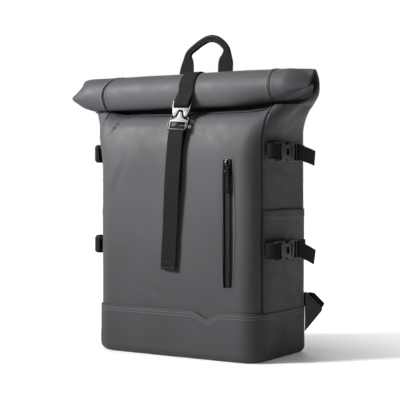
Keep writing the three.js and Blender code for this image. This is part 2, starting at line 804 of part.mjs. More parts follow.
// One compression strap on the right side; over is how far the pocket under it lifts its sewn ends.
function sideStrap(z, over, droop) {
  const edges = [-sideWebWidth / 2, 0, sideWebWidth / 2];
  const surface = (y) => Math.max(...edges.map((dz) => sideX(y, z + dz))) + over + pieceGap;
  const barX = sideBuckleX;
  const lift = webThickness / 2;
  const turn = (plasticBar * Math.SQRT1_2) / Math.cos(Math.PI / 8) + 0.7 + lift;
  const flat = ([x, y, dz = 0]) => [x, y, z + dz];

  const loopY = socketStart + plasticBar / 2;
  const seamY = strapSeam - bodyDepth / 2;
  const frontPath = [
    [surface(seamY) + lift, seamY - 1],
    [surface(seamY) + lift + 4, seamY + 2],
    ...arc(barX, loopY, turn, 200, -20, 4),
    [surface(seamY) + lift + 6, seamY - 5],
    [surface(seamY) + 3 * lift + 1.2, seamY - 5],
  ].map(flat);

  const socketMiddle = (socketStart + socketEnd) / 2;
  const socketShape = roundedRectangle(socketWidth, socketLength, 2.6, 0, socketMiddle);
  socketShape.holes.push(rectangle(sideWebWidth + 1, 5, 0, socketStart + plasticBar + 2.5));
  const alongY = new THREE.Matrix4().makeBasis(
    new THREE.Vector3(0, 0, 1),
    new THREE.Vector3(1, 0, 0),
    new THREE.Vector3(0, 1, 0),
  );
  const lay = (g, x) => {
    g.applyMatrix4(alongY);
    g.translate(x, 0, z);
    return g;
  };
  const socket = lay(plateXZ(socketShape, buckleThickness, 0, 2), barX);
  const mouth = box([ladderThickness, 16, sideWebWidth], [barX, socketEnd - 7, z]);
  const window = box([buckleThickness, 9, 10], [barX + 4, socketEnd - 12, z]);
  const thinned = (y, size) =>
    [-1, 1].map((side) => {
      const depth = buckleThickness / 2;
      return box([depth, size, sideWebWidth + 1], [barX + side * (plasticBar / 2 + depth / 2), y, z]);
    });

  const ladderMiddle = (ladderEnd + socketEnd + 0.5) / 2;
  const ladderShape = roundedRectangle(socketWidth, ladderLength - 0.5, 2.4, 0, ladderMiddle);
  const slots = [ladderEnd - plasticBar - 2.75, ladderEnd - 2 * plasticBar - 8.25];
  for (const y of slots) {
    ladderShape.holes.push(rectangle(sideWebWidth + 1, 5.5, 0, y));
  }
  const ladder = lay(plateXZ(ladderShape, ladderThickness, 0, 2), barX);
  const tongue = box([ladderThickness - 0.8, 14, sideWebWidth - 0.8], [barX, socketEnd - 5, z]);

  const endY = ladderEnd - plasticBar / 2;
  const backPath = [
    [surface(-seamY) + lift, -seamY + 2],
    [surface(-seamY - 6) + lift + 0.3, -seamY - 7],
    ...arc(barX, endY, turn, 180, 360, 4),
    [barX + turn + 1, endY + 12, -droop * 0.15],
    [sideTailX, sideTailY, -droop],
  ].map(flat);
  return {
    front: webbing(frontPath, [0, 0, 1], sideWebWidth),
    socket: cut(socket, [mouth, window, ...thinned(loopY, 10)]),
    plug: cut(joined([ladder, tongue]), thinned(endY, plasticBar + 1)),
    back: webbing(backPath, [0, 0, 1], sideWebWidth),
  };
}

function buildSideStraps() {
  for (const [level, z, over, droop] of [
    ["upper", upperStrapZ, 0, upperDroop],
    ["lower", lowerStrapZ, pieceGap + pocketWall, lowerDroop],
  ]) {
    const set = sideStrap(z, over, droop);
    for (const [side, turnOver] of [
      ["right", (g) => g],
      ["left", mirrored],
    ]) {
      addPiece(`strap_front_${level}_${side}`, turnOver(set.front), webbingBlack);
      addPiece(`buckle_socket_${level}_${side}`, turnOver(set.socket), plasticBlack);
      addPiece(`buckle_plug_${level}_${side}`, turnOver(set.plug), plasticBlack);
      addPiece(`strap_back_${level}_${side}`, turnOver(set.back), webbingBlack);
    }
  }
}

// Handle: across is a share of its spread, up of its rise, width and thick of the webbing's width
// and the grip's thickness. The feet lie on the back's slope.
const handleTable = [
  { across: -1, up: 0, width: 1, thick: 0.28 },
  { across: -1, up: 0.33, width: 1, thick: 0.31 },
  { across: -0.82, up: 0.67, width: 0.71, thick: 0.59 },
  { across: -0.42, up: 0.93, width: 0.46, thick: 0.94 },
  { across: 0.13, up: 1, width: 0.43, thick: 1 },
  { across: 0.68, up: 0.915, width: 0.46, thick: 0.94 },
  { across: 0.97, up: 0.67, width: 0.68, thick: 0.59 },
  { across: 1.01, up: 0.37, width: 1, thick: 0.31 },
  { across: 1, up: 0, width: 1, thick: 0.28 },
];

function buildHandle() {
  const lift = wall / 2 + pieceGap + handleThickness / 2;
  const foot = (x) =>
    [-4.6, -3.9, -3.2].map((k) => {
      const { point, normal } = between(neckStation + k, 2 * quarterGirth);
      return { point: [x, ...moved(point, normal, lift).slice(1)], normal };
    });
  const sewn = (x) => foot(x).map((row) => ({ ...row, width: handleWidth, thickness: handleThickness }));
  const rise = handleTable.map(({ across, up, width, thick }) => ({
    point: [across * handleSpread, handleY, handleFootZ + up * handleRise],
    normal: [0, 1, 0],
    width: width * handleWidth,
    thickness: thick * gripThickness,
  }));
  const rows = [...sewn(-handleSpread), ...rise, ...sewn(handleSpread).reverse()];
  const column = (key) => rows.map((row) => row[key]);
  const handle = band(column("point"), column("normal"), column("width"), column("thickness"));
  addPiece("top_handle", handle, webbingBlack);
}

function buildBackPad() {
  const heights = [0, 0.05, 0.35, 0.65, 0.95, 1].map((t) => backPadBottom + t * (backPadTop - backPadBottom));
  const stops = bothWays([0, 0.3, 0.6, 0.94, 1].map((t) => (t * backPadWidth) / 2)).map(
    (s) => 2 * quarterGirth + s,
  );
  const low = wall / 2 + pieceGap;
  const edge = (i, list) => i === 0 || i === list.length - 1;
  const top = (k, j) => low + (edge(k, heights) || edge(j, stops) ? backPadThickness / 3 : backPadThickness);
  addPiece("back_pad", patch(heights, stops, () => low, top), padBlack);
}

// Right shoulder pad from its sewn end at the top of the back down to its tip. spread is a share of
// how far it leans out, up of its height and out of its standoff; rows with loose lie on the back.
const shoulderTable = [
  { spread: 0, loose: 0.5, up: 1, width: 0.65, thick: 0.27 },
  { spread: 0.02, loose: 0.9, up: 0.94, width: 0.71, thick: 0.45 },
  { spread: 0.14, out: 0.57, up: 0.845, width: 0.84, thick: 0.82 },
  { spread: 0.38, out: 0.88, up: 0.71, width: 0.97, thick: 1 },
  { spread: 0.64, out: 1, up: 0.51, width: 1, thick: 1 },
  { spread: 0.83, out: 0.93, up: 0.3, width: 0.97, thick: 1 },
  { spread: 0.95, out: 0.74, up: 0.12, width: 0.84, thick: 0.91 },
  { spread: 1, out: 0.55, up: 0, width: 0.58, thick: 0.55 },
];

// The wing's outline: out is a share of its reach, up of its height.
const wingTable = [
  { out: 0.055, up: 0 },
  { out: 0.97, up: 0.47 },
  { out: 1, up: 0.53 },
  { out: 0.33, up: 0.875 },
  { out: 0.055, up: 1 },
];

function buildShoulderStraps() {
  const padRows = shoulderTable.map(({ spread, loose, out, up, width, thick }) => {
    const x = shoulderTopX + spread * shoulderSpread;
    const z = shoulderTipZ + up * (shoulderTopZ - shoulderTipZ);
    const thickness = thick * shoulderPadThickness;
    const size = { width: width * shoulderPadWidth, thickness };
    if (loose === undefined) return { point: [x, bodyDepth / 2 + out * shoulderStandoff, z], ...size };
    const { point, normal } = atHeight(z, 2 * quarterGirth - x);
    return { point: moved(point, normal, wall / 2 + pieceGap + thickness / 2 + loose), ...size };
  });
  const points = padRows.map((row) => row.point);
  const last = points.length - 1;
  const normals = points.map((p, i) => {
    const along = subtract(points[Math.min(last, i + 1)], points[Math.max(0, i - 1)]);
    return unit([0, -along[2], along[1]]);
  });
  const padColumn = (key) => padRows.map((row) => row[key]);
  const pad = band(points, normals, padColumn("width"), padColumn("thickness"));

  // The ladder lock hangs under the tip; a webbing tab joins its top bar to the pad.
  const tip = points[last];
  const lockY = tip[1] + 1;
  const lockTop = tip[2] - 9;
  const lockShape = roundedRectangle(lockWidth, lockHeight, 2.4, 0, -lockHeight / 2);
  const lockSlot = (lockHeight - 3 * plasticBar) / 2;
  const slotAt = (i) => -plasticBar - lockSlot / 2 - i * (plasticBar + lockSlot);
  for (const i of [0, 1]) lockShape.holes.push(rectangle(shoulderWebWidth + 1, lockSlot, 0, slotAt(i)));
  const lock = plateXZ(lockShape, plasticBar, 0, 2);
  lock.translate(tip[0], lockY, lockTop);
  const turn = (plasticBar * Math.SQRT1_2) / Math.cos(Math.PI / 8) + 0.5 + webThickness / 2;
  const tabLoop = arc(lockY, lockTop - plasticBar / 2, turn, 180, 360, 4);
  const tab = [
    [lockY - turn, tip[2] - 2.5],
    ...tabLoop,
    [lockY + turn, tip[2] - 2.5],
  ].map(([y, z]) => [tip[0], y, z]);

  // The wing lies in the plane of wingOut and Z; a point of it is [distance out, height].
  const seam = atHeight(baseHeight - 15, backSeam).point;
  const front = unit(cross(wingOut, [0, 0, 1]));
  const onWing = (out, z, off = 0) => [
    seam[0] + wingOut[0] * (out + 3) + front[0] * off,
    seam[1] + wingOut[1] * (out + 3) + front[1] * off,
    z,
  ];
  const outline = wingTable.map(({ out, up }) => [out * wingReach, wingBottom + up * wingHeight]);
  const wing = loft(
    [-wingThickness / 2, wingThickness / 2].map((off) => outline.map(([out, z]) => onWing(out, z, off))),
  );

  // Webbing from the wing out to its bend, then behind the bag and up through the ladder lock.
  const under = -(wingThickness / 2 + pieceGap + webThickness / 2);
  const rise = unit([wingOut[0] * 0.677, wingOut[1] * 0.677, 0.737]);
  const bandZ = (up) => wingBottom + up * wingHeight;
  const barZ = lockTop - lockHeight + plasticBar / 2 + plasticBar + lockSlot;
  const bend = [
    { p: onWing(0.42 * wingReach, bandZ(0.47), under), n: front },
    { p: onWing(0.75 * wingReach, bandZ(0.68), under), n: front },
    { p: onWing(0.92 * wingReach, bandZ(0.78), under - 1.5), n: unit(mix(front, rise, 0.5)) },
    { p: onWing(0.92 * wingReach, bandZ(0.79), under - 9), n: rise },
    { p: onWing(0.75 * wingReach, bandZ(0.72), under - 32), n: unit(mix(rise, [0, 1, 0], 0.5)) },
    { p: [tip[0] + 26, lockY + 2, bandZ(0.84)], n: [0, 1, 0] },
    { p: [tip[0] + 4, lockY - turn - 1, barZ - 16], n: [0, 1, 0] },
  ];
  const over = [180, 135, 90, 45, 0].map((degrees) => {
    const angle = (degrees * Math.PI) / 180;
    const [y, z] = [Math.cos(angle), Math.sin(angle)];
    return { p: [tip[0], lockY + turn * y, barZ + turn * z], n: [0, -y, -z] };
  });
  const tail = [
    { p: [tip[0] - 0.5, lockY + turn + 1, barZ - 14], n: [0, -1, 0] },
    { p: [tip[0] - 2, lockY + turn + 3, barZ - 58], n: [0, -1, 0] },
  ];
  // The stretch that twists gets a ring half way along each of its spans.
  const halfway = (a, b) => ({ p: mix(a.p, b.p, 0.5), n: unit(mix(a.n, b.n, 0.5)) });
  const twisted = bend.flatMap((row, i) => (i > 2 && i < 6 ? [row, halfway(row, bend[i + 1])] : [row]));
  const path = [...twisted, ...over, ...tail];
  const even = (value) => path.map(() => value);
  const lower = band(
    path.map((row) => row.p),
    path.map((row) => row.n),
    even(shoulderWebWidth),
    even(webThickness),
  );
  return { pad, lock, tab: webbing(tab, [1, 0, 0], shoulderWebWidth - 1), wing, lower };
}

buildPanels();
buildBase();
buildPockets();
buildZip();
buildRollStrap();
buildSideStraps();
buildHandle();
buildBackPad();
const shoulder = buildShoulderStraps();
for (const [side, turnOver] of [
  ["right", (g) => g],
  ["left", mirrored],
]) {
  addPiece(`shoulder_pad_${side}`, turnOver(shoulder.pad), padBlack);
  addPiece(`ladder_lock_${side}`, turnOver(shoulder.lock), plasticBlack);
  addPiece(`shoulder_tab_${side}`, turnOver(shoulder.tab), webbingBlack);
  addPiece(`strap_wing_${side}`, turnOver(shoulder.wing), coatedGrey);
  addPiece(`shoulder_webbing_${side}`, turnOver(shoulder.lower), webbingBlack);
}

export default group;
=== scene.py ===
"""Looks for a rolltop backpack of coated fabric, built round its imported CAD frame.

Shapes are worked out in millimetres, in the CAD's own frame, and scaled to metres when a mesh is made.
"""

import math

import bmesh
import bpy
import numpy as np
from mathutils import Matrix, Vector


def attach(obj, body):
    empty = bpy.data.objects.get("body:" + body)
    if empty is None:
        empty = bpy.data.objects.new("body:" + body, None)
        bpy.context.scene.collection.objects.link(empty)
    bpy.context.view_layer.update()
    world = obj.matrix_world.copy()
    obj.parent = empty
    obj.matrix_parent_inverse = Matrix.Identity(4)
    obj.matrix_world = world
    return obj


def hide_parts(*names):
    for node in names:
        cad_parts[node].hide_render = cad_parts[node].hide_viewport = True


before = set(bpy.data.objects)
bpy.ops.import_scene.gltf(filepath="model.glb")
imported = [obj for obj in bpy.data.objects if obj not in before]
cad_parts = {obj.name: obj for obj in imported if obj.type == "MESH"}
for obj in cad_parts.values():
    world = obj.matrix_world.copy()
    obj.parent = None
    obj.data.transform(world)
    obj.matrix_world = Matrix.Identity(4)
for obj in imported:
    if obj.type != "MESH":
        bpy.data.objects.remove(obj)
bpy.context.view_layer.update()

MM = 0.001

# Body, from the CAD source
BODY_WIDTH = 302
BODY_DEPTH = 170
CORNER_RADIUS = 30
PIPING_RADIUS = 1.15
WALL = 1.6
PIECE_GAP = 0.4
HEM_DEPTH = 22
SHOULDER_Z = 290
FRONT_CROWN = 3
BACK_CROWN = 2
SIDE_CROWN = 1.5
BODY_STOPS = (0, 0.3, 0.62, 1)
BODY_STEPS = 3

# Base
BASE_Z = 75
BASE_WALL = 2
FLOOR_WALL = 3
BASE_FILLET = 12
NOTCH_DEPTH = 12
NOTCH_HALF = 25
NOTCH_X = 67.5
BASE_SEAMS = (4.2, 8.4)
# The dent in its right corner: depth, then middle and half height, and middle and half length along Y
DENT_DEPTH = 2.4
DENT_Z = (30, 20)
DENT_Y = (-30, 72)
DENT_FROM_X = 110

# Roll
ROLL_RADIUS = 30
ROLL_Y = -42
ROLL_Z = 417
ROLL_TURNS = 1.67
LAYER_GAP = 0.8
FLAT_GAP = 0.6
STEPS_PER_TURN = 12
END_GROWTH = 1.4
LIP_LEAN = 0.35
DRAWN_LEFT = 30.0
DRAWN_RIGHT = 20.0
PINCH_LENGTH = 41
PINCH_LEFT = 13
PINCH_RIGHT = 5
SEAT_STEPS = 4
SLOPE_STEPS = 5

# Zip
ZIP_X = 102
ZIP_TOP = 309
ZIP_BOTTOM = 112
ZIP_SLOT = 17
TAPE_WIDTH = 28
CHAIN_HEIGHT = 1.3
SLIDER_LENGTH = 12
SLIDER_WIDTH = 11
SLIDER_THICKNESS = 2.4
PULL_LENGTH = 46
PULL_WIDTH = 12
PIVOT_HEIGHT = 2.4
TOOTH = (3.6, 1.15, 0.95)
TOOTH_PITCH = 1.55
TOOTH_OFFSET = 1.5
TOOTH_STAGGER = 0.39

# The piped rim of the zip's slot, across and out, and the slider's bridge from the side
ZIP_WELT = (
    (1.5, 0.1), (1.3, 0.45), (0.8, 0.6), (0, 0.66), (-0.8, 0.6), (-1.3, 0.4), (-1.5, -0.3), (-1.2, -1.3),
    (0, -1.5), (1.3, -0.3),
)
SLIDER_BRIDGE = (
    (-4.8, 0.4), (-4.8, -2.4), (-3.9, -3.9), (-2.2, -4.6), (2.2, -4.6), (3.9, -3.9), (4.8, -2.4), (4.8, 0.4),
)

# Pockets and webbing
POCKET_TOP = 231
POCKET_WALL = 1.6
POCKET_BULGE = 2.5
POCKET_HEM = np.array([13, 11.8, 1, 0.3])
HEM_WIDTH = 13.2
HEM_SEAMS = (2.2, 11)
WEB = 1.5
PICK_LENGTH = 0.0017
STRAP_WIDTH = 28
SIDE_WEB_WIDTH = 24
STRAP_BACK_X = 3
STRAP_TOP_X = 16
STRAP_END_X = -3
PATCH_BOTTOM_Z = 258
PATCH_TOP_Z = 286
TAIL_END_Z = 136
TAIL_STANDOFF = 3
STRAP_LEAN_Y = -90
STRAP_LEAN_Z = 340
# The free end from the buckle down: how far it strays in Y, and its heights
TAIL_LINE = (
    (-1, PATCH_TOP_Z + 10),
    (-1.6, PATCH_BOTTOM_Z + 8),
    (-1, PATCH_BOTTOM_Z - 20),
    (0.2, PATCH_BOTTOM_Z - 60),
    (-0.4, TAIL_END_Z + 30),
    (0, TAIL_END_Z),
)

# Metal buckle
METAL_THICKNESS = 3.2
METAL_WIDTH = 36
METAL_Z = 387
HOOK_TOP = 15
HOOK_BOTTOM = -12
FRAME_TOP = -14.5
FRAME_BOTTOM = -34
METAL_BAR = 3.4
HOOK_BAR = HOOK_TOP - 6.5
METAL_HALF = METAL_WIDTH / 2
# Right halves of the outlines of its hook and its frame, with Z from METAL_Z
HOOK_SIDE = (
    (METAL_HALF - 3.6, HOOK_TOP - 4.6),
    (METAL_HALF - 3.3, HOOK_TOP - 1.6),
    (METAL_HALF - 2.2, HOOK_TOP - 0.2),
    (METAL_HALF - 0.8, HOOK_TOP - 0.6),
    (METAL_HALF - 0.2, HOOK_TOP - 2.4),
    (METAL_HALF - 0.1, HOOK_TOP - 8),
    (METAL_HALF - 0.9, HOOK_TOP - 14),
    (METAL_HALF - 2.6, -5.5),
    (METAL_HALF - 4.0, HOOK_BOTTOM + 2.2),
    (METAL_HALF - 4.6, HOOK_BOTTOM + 0.4),
    (METAL_HALF - 6.0, HOOK_BOTTOM),
    (8.8, HOOK_BOTTOM),
    (7.6, HOOK_BOTTOM + 0.5),
    (5.9, HOOK_BOTTOM + 4.0),
    (5.1, HOOK_BOTTOM + 7.0),
    (4.2, HOOK_BOTTOM + 9.2),
    (2.2, HOOK_BOTTOM + 10.4),
)
FRAME_SIDE = (
    (METAL_HALF - 2.8, FRAME_BOTTOM),
    (METAL_HALF - 1.2, FRAME_BOTTOM + 0.6),
    (METAL_HALF - 0.7, FRAME_BOTTOM + 2.0),
    (METAL_HALF - 0.6, FRAME_TOP - 5.0),
    (METAL_HALF - 1.2, FRAME_TOP - 3.2),
    (METAL_HALF - 3.2, FRAME_TOP - 2.4),
    (9.5, FRAME_TOP - 1.0),
    (6.6, FRAME_TOP + 0.9),
    (4.9, FRAME_TOP + 3.2),
    (4.1, FRAME_TOP + 6.2),
    (3.6, FRAME_TOP + 8.6),
    (2.2, FRAME_TOP + 10.4),
)
RIM_Y = -METAL_THICKNESS / 2 - WEB - 1.5
RIM_Z = FRAME_BOTTOM + 0.4
# Boxes on both sides of the frame: size, how far in from the edge, Y, Z and rounding
FRAME_BOXES = (
    ((2.2, 1.9, 4.6), 1.4, 0.2, FRAME_TOP - 0.8, 0.5),
    ((2.2, -RIM_Y + 0.6, 2.6), 1.6, RIM_Y / 2, RIM_Z + 0.2, 0.6),
    ((2.2, 2.0, 12.5), 1.6, RIM_Y + 0.2, RIM_Z + 6.2, 0.6),
)

# Side buckles
UPPER_STRAP_Z = 320
LOWER_STRAP_Z = 170
SOCKET_WIDTH = 30
LADDER_THICKNESS = 5
PLASTIC_BAR = 3
SIDE_BUCKLE_X = 170
SOCKET_START = -58
SOCKET_END = -18
LADDER_END = 12
SIDE_TAIL = (175, 58)
SIDE_SEAM_Y = -62
UPPER_DROOP = 9
LOWER_DROOP = 16
SOCKET_HALF = SOCKET_WIDTH / 2
# Upper half of the socket's outline, from the webbing's end to the plug's
SOCKET_SIDE = (
    (SOCKET_HALF - 3, SOCKET_START),
    (SOCKET_HALF - 1.2, SOCKET_START + 1.4),
    (SOCKET_HALF - 0.2, SOCKET_START + 4),
    (SOCKET_HALF, SOCKET_START + 9),
    (SOCKET_HALF, SOCKET_START + 15),
    (SOCKET_HALF - 1.0, SOCKET_START + 17),
    (SOCKET_HALF - 3.4, SOCKET_START + 20),
    (SOCKET_HALF - 3.8, SOCKET_START + 25),
    (SOCKET_HALF - 3.0, SOCKET_START + 29),
    (SOCKET_HALF - 0.6, SOCKET_START + 32),
    (SOCKET_HALF, SOCKET_START + 35),
    (SOCKET_HALF - 0.5, SOCKET_END - 0.8),
    (SOCKET_HALF - 2.5, SOCKET_END),
)
# Boxes on both sides of the socket and of the plug: size, how far in, Y, Z, rounding and its steps
SOCKET_BOXES = (
    ((3.2, 5.0, 9), 2.0, 0, SOCKET_START + 9, 0.6),
    ((2.0, 1.2, 12), 4.6, 4.3, SOCKET_START + 13, 0.4),
)
PLUG_BOXES = (
    ((2.6, 3.4, 16), 4.2, 0, SOCKET_END - 7, 0.8),
    ((3.0, 4.6, 9.5), 1.9, 0, SOCKET_START + 24.5, 1.0, 3),
)

# Back and shoulder straps
BACK_PAD_WIDTH = 236
BACK_PAD_BOTTOM = 92
BACK_PAD_TOP = 280
BACK_PAD_THICKNESS = 9
BACK_PAD_CORNER = 16
SHOULDER_WEB_WIDTH = 27
LOCK_WIDTH = 35
LOCK_HEIGHT = 27
WING_THICKNESS = 2
WING_OUT = np.array([0.45, 0.893, 0])
SHOULDER_PAD_WIDTH = 62
SHOULDER_PAD_THICKNESS = 11
SHOULDER_TOP_X = 36
SHOULDER_SPREAD = 42
SHOULDER_STANDOFF = 42
SHOULDER_TOP_Z = SHOULDER_Z + 76
SHOULDER_TIP_Z = BASE_Z + 71
# The pad's line: shares of its spread, standoff and height, then of its width and thickness. The first
# rows are sewn to the back, and give how loosely they lie there in place of a standoff.
SEWN_ROWS = 2
SHOULDER_ROWS = (
    (0, 0.5, 1, 0.65, 0.27),
    (0.02, 0.9, 0.94, 0.71, 0.45),
    (0.14, 0.57, 0.845, 0.84, 0.82),
    (0.38, 0.88, 0.71, 0.97, 1),
    (0.64, 1, 0.51, 1, 1),
    (0.83, 0.93, 0.3, 0.97, 1),
    (0.95, 0.74, 0.12, 0.84, 0.91),
    (1, 0.55, 0, 0.58, 0.55),
)
# The wing's outline: shares of its reach and height
WING_REACH = 36
WING_HEIGHT = 64
WING_BOTTOM = BASE_Z - 41
WING_ROWS = ((0.055, 0), (0.97, 0.47), (1, 0.53), (0.33, 0.875), (0.055, 1))
# Its stitched line, out along the wing and up
WING_SEAM = ((4, 38.5), (32.5, 65.4), (33, 67.2), (11, 86.8), (4, 92.5))

# The cloth that swells the pads, and where the back pad is quilted
PAD_CLOTH = {
    "use_pressure": True,
    "quality": 5,
    "mass": 0.3,
    "tension_stiffness": 30,
    "compression_stiffness": 30,
    "bending_stiffness": 0.6,
}
QUILT_X = 39
QUILT_HEIGHTS = (140, 186, 232)

# Handle
HANDLE_SPREAD = 38
HANDLE_RISE = 82
HANDLE_WIDTH = 28
GRIP_THICKNESS = 8.5
HANDLE_Y = ROLL_Y + 54
HANDLE_FOOT_Z = ROLL_Z + 8
# Stations of its sewn feet, back from the neck
HANDLE_SEWN = np.array([-4.6, -3.9, -3.2])
HANDLE_BOX = np.linspace(-4.5, -3.3, 7)
# Its line: shares of its spread and rise, then of the webbing's width and the grip's thickness
HANDLE_ROWS = (
    (-1, 0, 1, 0.28),
    (-0.99, 0.33, 1, 0.3),
    (-0.92, 0.57, 0.76, 0.36),
    (-0.91, 0.66, 0.56, 0.6),
    (-0.86, 0.73, 0.44, 0.85),
    (-0.52, 0.85, 0.43, 0.95),
    (-0.18, 0.94, 0.43, 1),
    (0.19, 1, 0.43, 1),
    (0.55, 0.975, 0.43, 0.95),
    (0.88, 0.87, 0.42, 0.9),
    (1.04, 0.77, 0.44, 0.8),
    (1.05, 0.66, 0.66, 0.5),
    (1.01, 0.55, 0.95, 0.32),
    (0.98, 0.34, 1, 0.3),
    (1, 0, 1, 0.28),
)
HANDLE = [
    (a * HANDLE_SPREAD, HANDLE_Y, HANDLE_FOOT_Z + b * HANDLE_RISE, c * HANDLE_WIDTH, d * GRIP_THICKNESS)
    for a, b, c, d in HANDLE_ROWS
]

# Shape of the roll, by the angle round it in degrees from the back over the top: how far each end
# stands out of its plain round form, and how far the left end's edge and each seam slide to +X
LEFT_END = (
    (0, 0), (45, 6.0), (68, 11.5), (79, 12.0), (88, 9.0), (100, 2.5), (120, -3.4), (142, -4.4), (165, -3.0),
    (180, 0.2), (191, 3.2), (203, 1.8), (215, 0.4), (243, -4.0), (265, -6.5), (290, -4), (360, 0),
)
RIGHT_END = (
    (0, -2), (21, -1), (50, 1.2), (68, 4), (76, 1.5), (86, -5), (97, -10), (120, -12.5), (160, -12.5),
    (178, -9.5), (197, -7), (215, -9), (246, -12), (270, -11), (301, -7), (340, -3), (360, -2),
)
LEFT_CUT = (
    (0, 6), (60, 12), (100, 12), (130, 9), (160, 4), (190, 0), (215, 1), (240, 4), (270, 8), (320, 8),
    (360, 6),
)
LEFT_SEAM = (
    (0, 6), (45, 17), (85, 26), (105, 25), (130, 17), (160, 9), (185, 7), (215, 12), (240, 12), (290, 4),
    (360, 6),
)
RIGHT_SEAM = ((0, 0), (60, 6), (230, 7), (270, 0), (360, 0))
# How far the lip at the roll's lower front hangs down, by stations past the neck, and along X
LIP = ((5.6, 0), (6.0, 1), (6.4, 3), (6.9, 6.5), (7.3, 8), (7.6, 7), (7.9, 4), (8.3, 0))
LIP_ALONG = ((-215, 0), (-165, 0.9), (-130, 1), (90, 1), (125, 0.5), (160, 0))
# How deep the front sinks under the roll, by stations, and how far round from its middle
RECESS = ((6.4, 0), (7.0, 1.5), (7.4, 6), (7.8, 12), (8.2, 14), (9, 13), (10, 9), (11, 3), (12, 0))
RECESS_ROUND = ((0, 1), (118, 1), (140, 0.7), (165, 0.15), (180, 0))
# How far the right end's underside is drawn up, by the angle round the roll, and along X
RIGHT_LIFT = ((185, 0), (215, 0.5), (245, 1), (285, 1), (320, 0), (360, 0))
LIFT_ALONG = ((95, 0), (120, 1.2), (175, 5.5), (223, 10.5))

# How far and which way the mouth's folded edge curls across the hollow in the roll's core
CURL_DEPTH = 36
CURL_WAY = math.radians(40)

# By stations: how slack the cloth is, how much of its small waves stays, and how far the gusset sinks
SLACK = ((0, 0.2), (0.4, 0.5), (2, 1), (8, 1), (11, 0.35), (14, 0.5), (22, 0.3), (24, 0))
CALM = ((3, 1), (4.5, 0.4), (8, 0.4), (11, 0.7))
GUSSET_SINK = ((3.5, 0), (7, 2.4), (9.5, 1.2), (11.5, 0))
# Depth of the slow and the quick waves
SLOW_DEPTH = 0.8
QUICK_DEPTH = 0.13
# A seam's groove and the ridges beside it: depth, half width and distance from the seam
SEAM_LEFT = 1.9
SEAM_RIGHT = 0.7
SEAM_WIDTH = 1.5
RIDGE = 0.35
RIDGE_WIDTH = 1.6
RIDGE_PLACE = 3.2
# Folds of the front, in X and Z, and of the sides, in Y and Z: start, end, depth and width
FRONT_CREASES = (
    ((-103, 386), (-123, 353), 3.0, 1.8),
    ((-60, 108), (-22, 97), 0.6, 6.0),
    ((96, 98), (60, 118), 0.5, 7.0),
    ((-96, 300), (-112, 262), 0.7, 7.0),
)
SIDE_CREASES = (
    ((-60, 338), (4, 398), 1.0, 10.0),
    ((62, 346), (24, 392), 0.5, 10.0),
    ((-40, 300), (30, 283), 0.9, 6.0),
    ((-50, 140), (20, 128), 0.7, 7.0),
)

# The fabric's hue, as shares of its grey
FABRIC_TINT = (1, 0.985, 1.09)
# The backdrop's brightness by the sine of the height above the horizon
SKY = ((-1, 0.3), (-0.08, 0.5), (-0.04, 1.0), (0.17, 1.0), (0.3, 0.12), (1, 0.1))
# The backdrop fades toward the right: from and to X, and its brightness there
RIGHT_SHADE = (0.12, 0.7, 1.0, 0.1)
# How the floor brightens outward: from and to a distance in metres, and its glow there
FLOOR_FADE = (0.05, 0.95, 0.1, 1.0)
# Each lamp: name, place, what it points at, its size in metres and its power in watts
LAMPS = (
    ("above", (-0.3, -0.15, 1.9), (0.0, 0.0, 0.3), 1.3, 14),
    ("back", (-0.9, 1.7, 1.2), (0.0, 0.0, 0.3), 1.2, 12),
)
# The key lamp: the same, with the spread of its beam in degrees
SPOT = ("upper_front", (-1.4, -1.4, 1.3), (-0.04, -0.08, 0.43), 0.4, 1080, 25)

# Camera: the photograph's view, with its focal length, horizon and middle in pixels
CAMERA_AZIMUTH = math.radians(32.65)
CAMERA_DISTANCE = 1.848
CAMERA_HEIGHT = 0.28
IMAGE_SIZE = 400
FOCAL_LENGTH = 1135.5
HORIZON_ROW = 177.8
MIDDLE_COLUMN = 202.0
SENSOR = 36

# One stitch: shares of its half length, and of its thickness there
GRAIN = np.array([(-1, 0.25), (-0.55, 0.95), (0.55, 0.95), (1, 0.25)])

# Worked out from the above, with the crown of the body by its height
QUARTER = BODY_WIDTH / 2 + BODY_DEPTH / 2 - (2 - math.pi / 2) * CORNER_RADIUS
PINCH_START = QUARTER - PINCH_LENGTH
FLAT_FRONT = BODY_WIDTH / 2 - CORNER_RADIUS
FRONT_SEAM = FLAT_FRONT + 0.75 * math.pi * CORNER_RADIUS / 2
BACK_SEAM = 2 * QUARTER - FRONT_SEAM
PANEL_EDGE = FRONT_SEAM - PIECE_GAP / 2
GUSSET_EDGE = QUARTER - FRONT_SEAM - PIECE_GAP / 2
FLAT_HALF = (FLAT_GAP + WALL) / 2
FOLD_ARC = math.pi * FLAT_HALF / 2
TUBE_THICKNESS = 2 * FLAT_HALF + WALL
ROLL_PITCH = TUBE_THICKNESS + LAYER_GAP
ROLL_MID = ROLL_RADIUS - TUBE_THICKNESS / 2
HEM_Z = BASE_Z - HEM_DEPTH
NECK_STEPS = SLOPE_STEPS + SEAT_STEPS
NECK = BODY_STEPS + NECK_STEPS
OCTAGON = math.cos(math.pi / 8)
STEP_DEGREES = 360 / STEPS_PER_TURN
LAST = NECK + round(ROLL_TURNS * STEPS_PER_TURN)
CROWN_HEIGHTS = np.array([0, 0.35, 0.75, 1.0])
CROWN_SHARES = np.array([0.35, 1.0, 0.9, 0.6])
BODY_HEIGHTS = HEM_Z + np.array(BODY_STOPS) * (SHOULDER_Z - HEM_Z)
BODY_K = np.interp(np.arange(HEM_Z, SHOULDER_Z, 4.0), BODY_HEIGHTS, range(4))
EDGE_STEPS = np.array([0, 0.5, 1.0, 1.6, 2.3, 3.2, 4.4, 6, 8.5])


def unit(v):
    v = np.asarray(v, float)
    return v / np.maximum(np.linalg.norm(v, axis=-1, keepdims=True), 1e-9)


def smooth(t):
    t = np.clip(t, 0, 1)
    return t * t * (3 - 2 * t)


